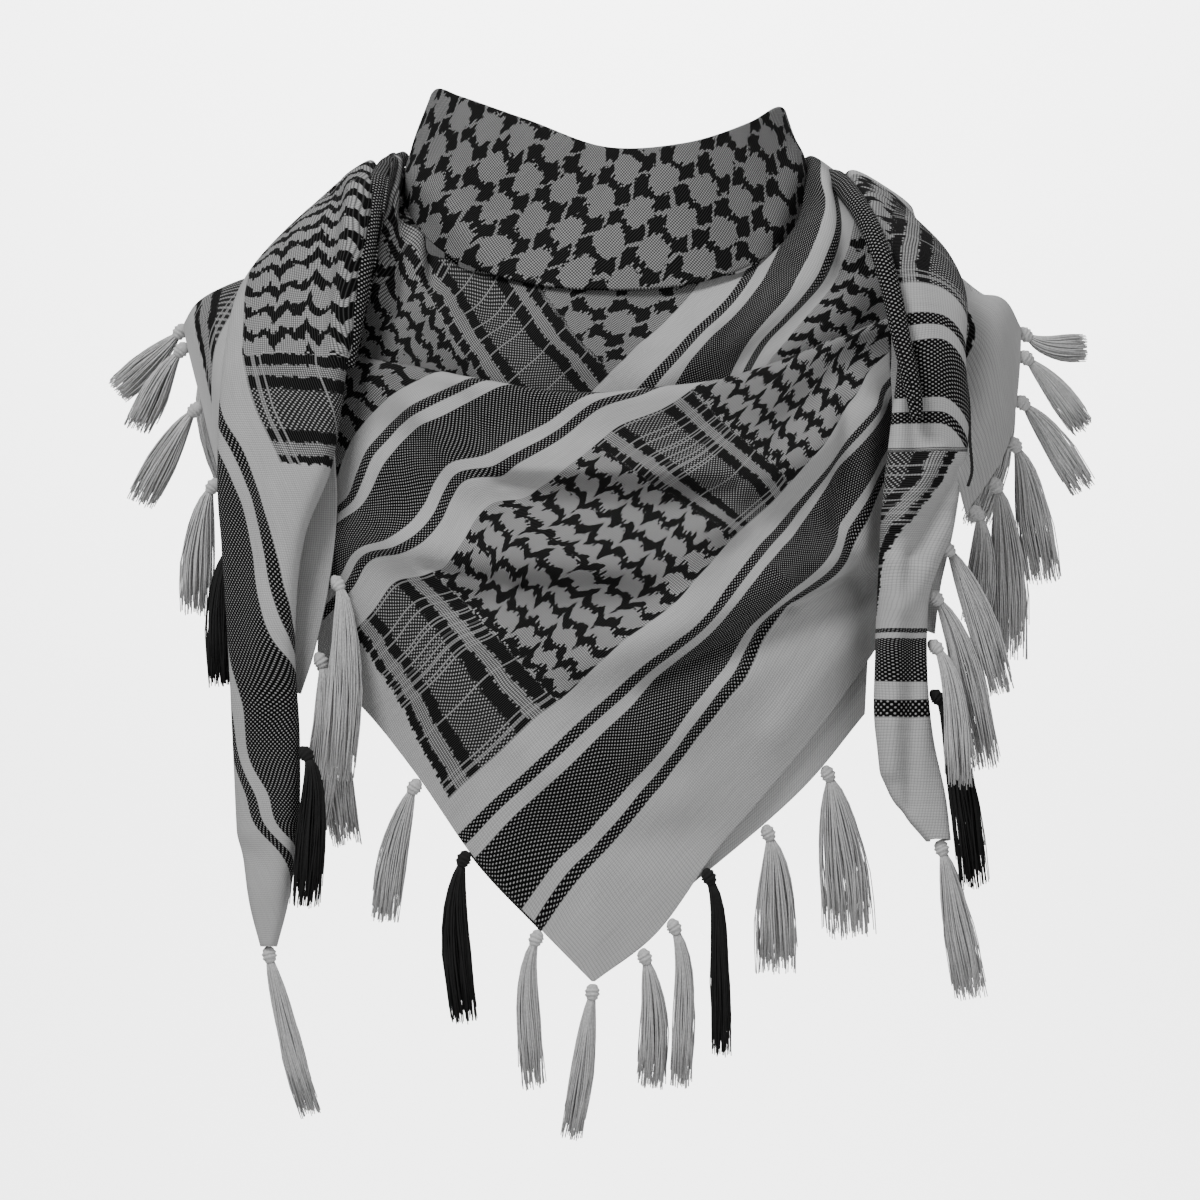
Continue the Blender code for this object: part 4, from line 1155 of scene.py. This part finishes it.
tassels = {
    "yarns": 210,
    "yarnRadius": 0.37,
    "yarnSteps": 8,
    "yarnTaper": 0.75,
    "yarnLengths": (0.88, 1.02),  # in the tassel's own
    "fullAt": 0.55,  # where along it a tassel is fully spread
    "sway": (1.6, 17.0),  # how far the whole bundle swings, and how slowly
    "wave": (0.8, 8, 20),  # how far one yarn swings, and how slowly at the least and the most
    "knotRadius": 3.4,
    "knotLength": 9.0,
    "knotEnd": 1.3,  # its radius at the hem
    "wraps": (0.35, 26),  # how high its wraps stand, and how closely they follow each other
    "neckRadius": 2.2,
    "depthShare": 0.7,  # a tassel's depth in its width
    "rootGap": 0.6,
    "tipGap": 0.1,
    "reach": 14.0,  # how far a tassel leads out of the hem before it droops
    # name, what it is tied to, place along that, end x, y, z, half width at the end, black
    "rows": [
        ("tassel_bib_1", "bib", 0.5, -129, -98, -336, 8, False),
        ("tassel_bib_2", "bib", 2.05, -110, -114, -374, 8, False),
        ("tassel_bib_3", "bib", 2.88, -71, -122, -424, 8, True),
        ("tassel_bib_4", "bib", 4.05, -36, -127, -457, 6.5, False),
        ("tassel_bib_5", "bib", 5.0, -17, -129, -482, 6, False),
        ("tassel_bib_6", "bib", 5.72, 23, -124, -457, 8, False),
        ("tassel_bib_7", "bib", 6.18, 38, -127, -456, 6, False),
        ("tassel_bib_8", "bib", 6.78, 58, -123, -440, 5, True),
        ("tassel_under_1", "under_bib", 4.62, 86, -106, -400, 11, False),
        ("tassel_under_2", "under_bib", 5.32, 122, -97, -382, 14, False),
        ("tassel_left_wing_1", "left_wing", 2.0, -245, -4, -110, 8, False),
        ("tassel_left_wing_2", "left_wing", 1.667, -235, -24, -128, 8, False),
        ("tassel_left_wing_3", "left_wing", 1.15, -233, -46, -165, 8, False),
        ("tassel_left_wing_4", "left_wing", 0.55, -204, -60, -221, 9, False),
        ("tassel_left_wing_5", "left_wing", 0.1, -193, -80, -256, 6, True),
        ("tassel_left_wing_6", "left_wing", 2.7, -184, 58, -168, 8, False),
        ("tassel_left_wing_7", "left_wing", 3.45, -160, 90, -194, 9, False),
        ("tassel_right_wing_1", "right_wing", 2.0, 242, 4, -88, 7, False),
        ("tassel_right_wing_2", "right_wing", 1.667, 240, -22, -128, 7, False),
        ("tassel_right_wing_3", "right_wing", 1.333, 240, -36, -158, 8, False),
        ("tassel_right_wing_4", "right_wing", 1.0, 220, -48, -204, 10, False),
        ("tassel_right_wing_5", "right_wing", 0.5, 202, -58, -242, 10, False),
        ("tassel_right_wing_6", "right_wing", 0.1, 185, -70, -226, 8, False),
        ("tassel_right_wing_7", "right_wing", 2.7, 186, 60, -176, 8, False),
        ("tassel_right_wing_8", "right_wing", 3.45, 160, 90, -196, 9, False),
        ("tassel_left_tail_1", "left_tail", 446, -147, -118, -470, 6, False),
        ("tassel_left_tail_2", "left_edge", 345, -149, -130, -366, 8, True),
        ("tassel_left_tail_3", "left_under_tail", 1.9, -134, -130, -302, 9, False),
        ("tassel_left_tail_4", "left_under_tail", 3.1, -148, -104, -336, 8, False),
        ("tassel_right_tail_1", "right_edge", 260, 197, -98, -260, 8, False),
        ("tassel_right_tail_2", "right_edge", 285, 190, -103, -297, 9, False),
        ("tassel_right_tail_3", "right_edge", 310, 177, -136, -306, 7, False),
        ("tassel_right_tail_4", "right_edge", 335, 184, -114, -356, 8, True),
        ("tassel_right_tail_5", "right_tail", 410, 183, -114, -412, 9, False),
    ],
}


def twoEdges(rows, stations):
    values = smoothLine([row[0] for row in rows], [row[1:] for row in rows], stations)
    return values[:, [0, 2, 1]], values[:, [3, 5, 4]]


def sheetEdge(rows, stations):
    points = smoothLine([row[0] for row in rows], [row[1:] for row in rows], stations)
    return points[:, -2], points[:, -1]


def tailEdge(table, distances, towardsSecond):
    middle, half, _, _ = tailRings(table, distances)
    edge = unit(half)
    first, last = middle - half - edge, middle + half + edge
    return (first, last) if towardsSecond else (last, first)


def tiedTo(place, along):
    # the hem's point, and the direction out of the cloth, square to the hem
    step = 10.0 if "edge" in place else 0.1
    stations = np.array([along - step, along, along + step])
    if place in ("left_tail", "right_tail"):
        rings = tailRings(tails[place[:-5]], np.array([along - 10.0, along]))[0]
        out = unit(rings[1] - rings[0])
        return rings[1] - out * (tassels["rootGap"] - tassels["tipGap"]), out
    if place == "bib":
        inside, hem = bibRows(stations)
    elif place == "under_bib":
        inside, hem = twoEdges(underBib["rows"], stations)
    elif "edge" in place:
        inside, hem = tailEdge(tails[place[:-5]], stations, towardsSecond=place == "left_edge")
    else:
        rows = underTails[place[:-11]] if "under" in place else wings[place[:-5]]
        inside, hem = sheetEdge(rows, stations)
    direction = unit(hem[2] - hem[0])
    out = hem[1] - inside[1]
    return hem[1], unit(out - (out @ direction) * direction)


def alongTassel(root, out, end, share):
    # a quadratic curve that leaves the root outwards and droops to the end, and its slope
    knee = root + out * tassels["reach"]
    t = np.asarray(share, float)[..., None]
    point = (1 - t) ** 2 * root + 2 * t * (1 - t) * knee + t**2 * end
    along = unit(2 * (1 - t) * (knee - root) + 2 * t * (end - knee))
    deep = np.array([0.0, 1.0, 0.0]) - along * along[..., 1:2]
    deep = unit(deep)
    return point, np.cross(along, deep), deep


def tube(rings):
    # rings: sets of rings of points, count x steps x sides x 3, joined along and closed at both ends
    count, steps, sides = rings.shape[:3]
    c, s, k = np.meshgrid(np.arange(count), np.arange(steps - 1), np.arange(sides), indexing="ij")
    base = c * steps * sides
    here, there = base + s * sides, base + (s + 1) * sides
    following = (k + 1) % sides
    quads = np.stack([here + k, here + following, there + following, there + k], axis=-1).reshape(-1, 4)
    first = np.arange(count)[:, None] * steps * sides + np.arange(sides)[::-1]
    last = np.arange(count)[:, None] * steps * sides + (steps - 1) * sides + np.arange(sides)
    return rings.reshape(-1, 3), quads.tolist() + first.tolist() + last.tolist()


def makeTassel(name, place, along, end, spread, black, seed):
    random = np.random.default_rng(seed)
    hem, out = tiedTo(place, along)
    root, end = hem + out * tassels["rootGap"], np.array(end, float)
    length = np.linalg.norm(end - root)
    # yarns: each has its own place in the bundle, its own length and a slow wave
    count, steps = tassels["yarns"], tassels["yarnSteps"]
    turn = random.uniform(0, 2 * math.pi, count)
    far = np.sqrt(random.uniform(0.02, 1, count))
    # shares of the curve at which its first millimetres end, since it starts slowly
    shares = np.linspace(0, 0.8, 400)
    lengths = arcLength(alongTassel(root, out, end, shares)[0][None], 1)[0]
    start = np.interp(tassels["knotLength"] * 0.8, lengths, shares)
    ends = random.uniform(*tassels["yarnLengths"], count)[:, None]
    share = start + (ends - start) * np.linspace(0, 1, steps)
    point, wideWay, deepWay = alongTassel(root, out, end, share)
    grow = np.clip((share - start) / tassels["fullAt"], 0, 1)
    radius = tassels["neckRadius"] * 0.8 + (spread - tassels["neckRadius"]) * grow * (1.3 - 0.3 * grow)
    swing, slow = tassels["sway"]
    sway = swing * np.sin(share * length / slow + seed) * grow * (1.2 - share)
    swing, fastest, slowest = tassels["wave"]
    slow = random.uniform(fastest, slowest, count)[:, None]
    wave = swing * np.sin(share * length / slow + turn[:, None] * 3) * grow + sway
    wide = (np.cos(turn) * far)[:, None] * radius + wave
    deep = (np.sin(turn) * far)[:, None] * radius * tassels["depthShare"] + wave * 0.4
    centre = point + wide[..., None] * wideWay + deep[..., None] * deepWay
    corner = np.radians([90, 210, 330])
    thick = tassels["yarnRadius"] * np.linspace(1, tassels["yarnTaper"], steps)[None, :, None, None]
    ring = wideWay[:, :, None] * np.cos(corner)[:, None] + deepWay[:, :, None] * np.sin(corner)[:, None]
    vertices, faces = tube(centre[:, :, None] + ring * thick)
    # knot: a barrel with the wraps of its own yarn as ridges across it
    levels = np.linspace(0, 1, 25)
    knotShares = np.interp(levels * tassels["knotLength"], lengths, shares)
    point, wideWay, deepWay = alongTassel(root, out, end, knotShares)
    sides = np.radians(np.arange(0, 360, 20))
    bulge = np.sin(math.pi * np.clip(levels * 1.05, 0, 1)) ** 0.6
    barrel = tassels["knotEnd"] + (tassels["knotRadius"] - 1.1) * bulge
    high, close = tassels["wraps"]
    wraps = high * np.sin(levels[:, None] * close + sides[None, :])
    radii = (barrel[:, None] + wraps * np.sin(math.pi * levels)[:, None])[..., None]
    ring = np.cos(sides)[:, None] * wideWay[:, None] + 0.85 * np.sin(sides)[:, None] * deepWay[:, None]
    knot = point[:, None] + radii * ring
    knotVertices, knotFaces = tube(knot[None])
    faces += [[index + len(vertices) for index in face] for face in knotFaces]
    vertices = np.concatenate([vertices, knotVertices])
    mesh = bpy.data.meshes.new(name)
    mesh.from_pydata((vertices * millimetre).tolist(), [], faces)
    material, slot = (blackYarn, "black_yarn") if black else (greyYarn, "grey_yarn")
    finished(name + "_yarns", mesh, material, [name])


for seed, (name, place, along, *end, spread, black) in enumerate(tassels["rows"]):
    makeTassel(name, place, along, end, spread, black, seed)
print("tassels made")


# Bound edges: runs of the hem and of a slit that are overcast in black yarn

boundEdges = {
    "radius": 0.8,
    "ridge": 0.18,  # how high a wrap stands, in the radius
    "steps": 90,
    "wraps": 34,  # turns of the overcasting along an edge
    "bibHem": (2.88, 4.05),  # stations along the bib's hem
    "rightTail": [
        (176, -82, -97),
        (180, -87, -104),
        (182, -92, -117),
        (182.5, -96, -135),
        (183.5, -97, -150),
        (181.5, -99, -158),
    ],
}


def makeBoundEdge(name, spine):
    along = unit(np.gradient(spine, axis=0))
    deep = unit(np.array([0.0, 1.0, 0.0]) - along * along[:, 1:2])
    sides = np.radians(np.arange(0, 360, 40))
    turn = np.linspace(0, 2 * math.pi * boundEdges["wraps"], len(spine))[:, None]
    radius = boundEdges["radius"] * (1 + boundEdges["ridge"] * np.sin(turn + sides))[..., None]
    wideWay = np.cross(along, deep)[:, None]
    ring = radius * (np.cos(sides)[:, None] * wideWay + np.sin(sides)[:, None] * deep[:, None])
    vertices, faces = tube((spine[:, None] + ring)[None])
    mesh = bpy.data.meshes.new(name)
    mesh.from_pydata((vertices * millimetre).tolist(), [], faces)
    finished(name, mesh, blackYarn)


makeBoundEdge("bib_bound_hem", bibRows(np.linspace(*boundEdges["bibHem"], boundEdges["steps"]))[1])
points = np.array(boundEdges["rightTail"], float)
stations = np.linspace(0, len(points) - 1, boundEdges["steps"])
makeBoundEdge("right_tail_bound_edge", smoothLine(np.arange(len(points)), points, stations))
print("bound edges made")


# Stage: a pale floor at the wearer's feet, soft light and the photograph's camera

stage = {
    "floorHeight": -1.45,
    "floorHalf": 6.0,
    "wallPlace": 30.0,  # where the floor curves up behind the scarf, beyond any view of its back
    "wallCurve": 1.0,
    "floorColour": "#f4f4f4",
    "cameraDistance": 15.0,
    "viewWidth": 0.6,
    "viewCentre": (-0.0025, -0.1, -0.215),
    "sensor": 36.0,
    "worldStrength": 0.4,
    # name, place, aim, size and watts of each light
    "lights": [
        ("key", (-1.1, -1.7, 1.9), (0, 0, -0.15), 1.0, 92),
        ("fill", (2.0, -1.8, 0.2), (0, 0, -0.2), 2.0, 21),
        ("rim", (0.3, 1.2, 1.5), (0, 0, -0.1), 1.2, 14),
        ("wall", (0, 27.5, 1.6), (0, 30.0, 0.0), 2.5, 560),
    ],
}


def aimed(thing, at):
    direction = Vector(at) - thing.location
    thing.rotation_euler = direction.to_track_quat("-Z", "Y").to_euler()


def makeStage():
    # a floor that curves up into a backdrop
    half, back = stage["floorHalf"], stage["wallPlace"]
    bend, z = stage["wallCurve"], stage["floorHeight"]
    turns = np.radians(np.linspace(0, 90, 24))
    deep = np.concatenate([[-half], back - bend + bend * np.sin(turns), [back]])
    high = np.concatenate([[z], z + bend - bend * np.cos(turns), [z + 5]])
    count = len(deep)
    corners = [(x, float(y), float(h)) for x in (-half, half) for y, h in zip(deep, high)]
    faces = [(k, k + count, k + count + 1, k + 1) for k in range(count - 1)]
    floorMesh = bpy.data.meshes.new("floor")
    floorMesh.from_pydata(corners, [], faces)
    floorMesh.shade_smooth()
    paint = bpy.data.materials.new("paleFloor")
    paint.use_nodes = True
    shader = paint.node_tree.nodes["Principled BSDF"]
    shader.inputs["Base Color"].default_value = linear(stage["floorColour"])
    shader.inputs["Roughness"].default_value = 0.9
    floorMesh.materials.append(paint)
    floor = bpy.data.objects.new("floor", floorMesh)
    bpy.context.scene.collection.objects.link(floor)
    world = bpy.data.worlds.new("studio")
    world.use_nodes = True
    sky = world.node_tree.nodes["Background"]
    sky.inputs["Color"].default_value = (1, 1, 1, 1)
    sky.inputs["Strength"].default_value = stage["worldStrength"]
    bpy.context.scene.world = world
    for name, place, aim, size, watts in stage["lights"]:
        lamp = bpy.data.lights.new(name, "AREA")
        lamp.size = size
        lamp.energy = watts
        light = bpy.data.objects.new(name, lamp)
        light.location = place
        bpy.context.scene.collection.objects.link(light)
        aimed(light, aim)
    cameraData = bpy.data.cameras.new("camera")
    cameraData.sensor_width = stage["sensor"]
    cameraData.lens = stage["sensor"] * stage["cameraDistance"] / stage["viewWidth"]
    camera = bpy.data.objects.new("camera", cameraData)
    x, y, z = stage["viewCentre"]
    camera.location = (x, y - stage["cameraDistance"], z)
    camera.rotation_euler = (math.radians(90), 0, 0)
    bpy.context.scene.collection.objects.link(camera)
    bpy.context.scene.camera = camera


makeStage()
print("stage made")
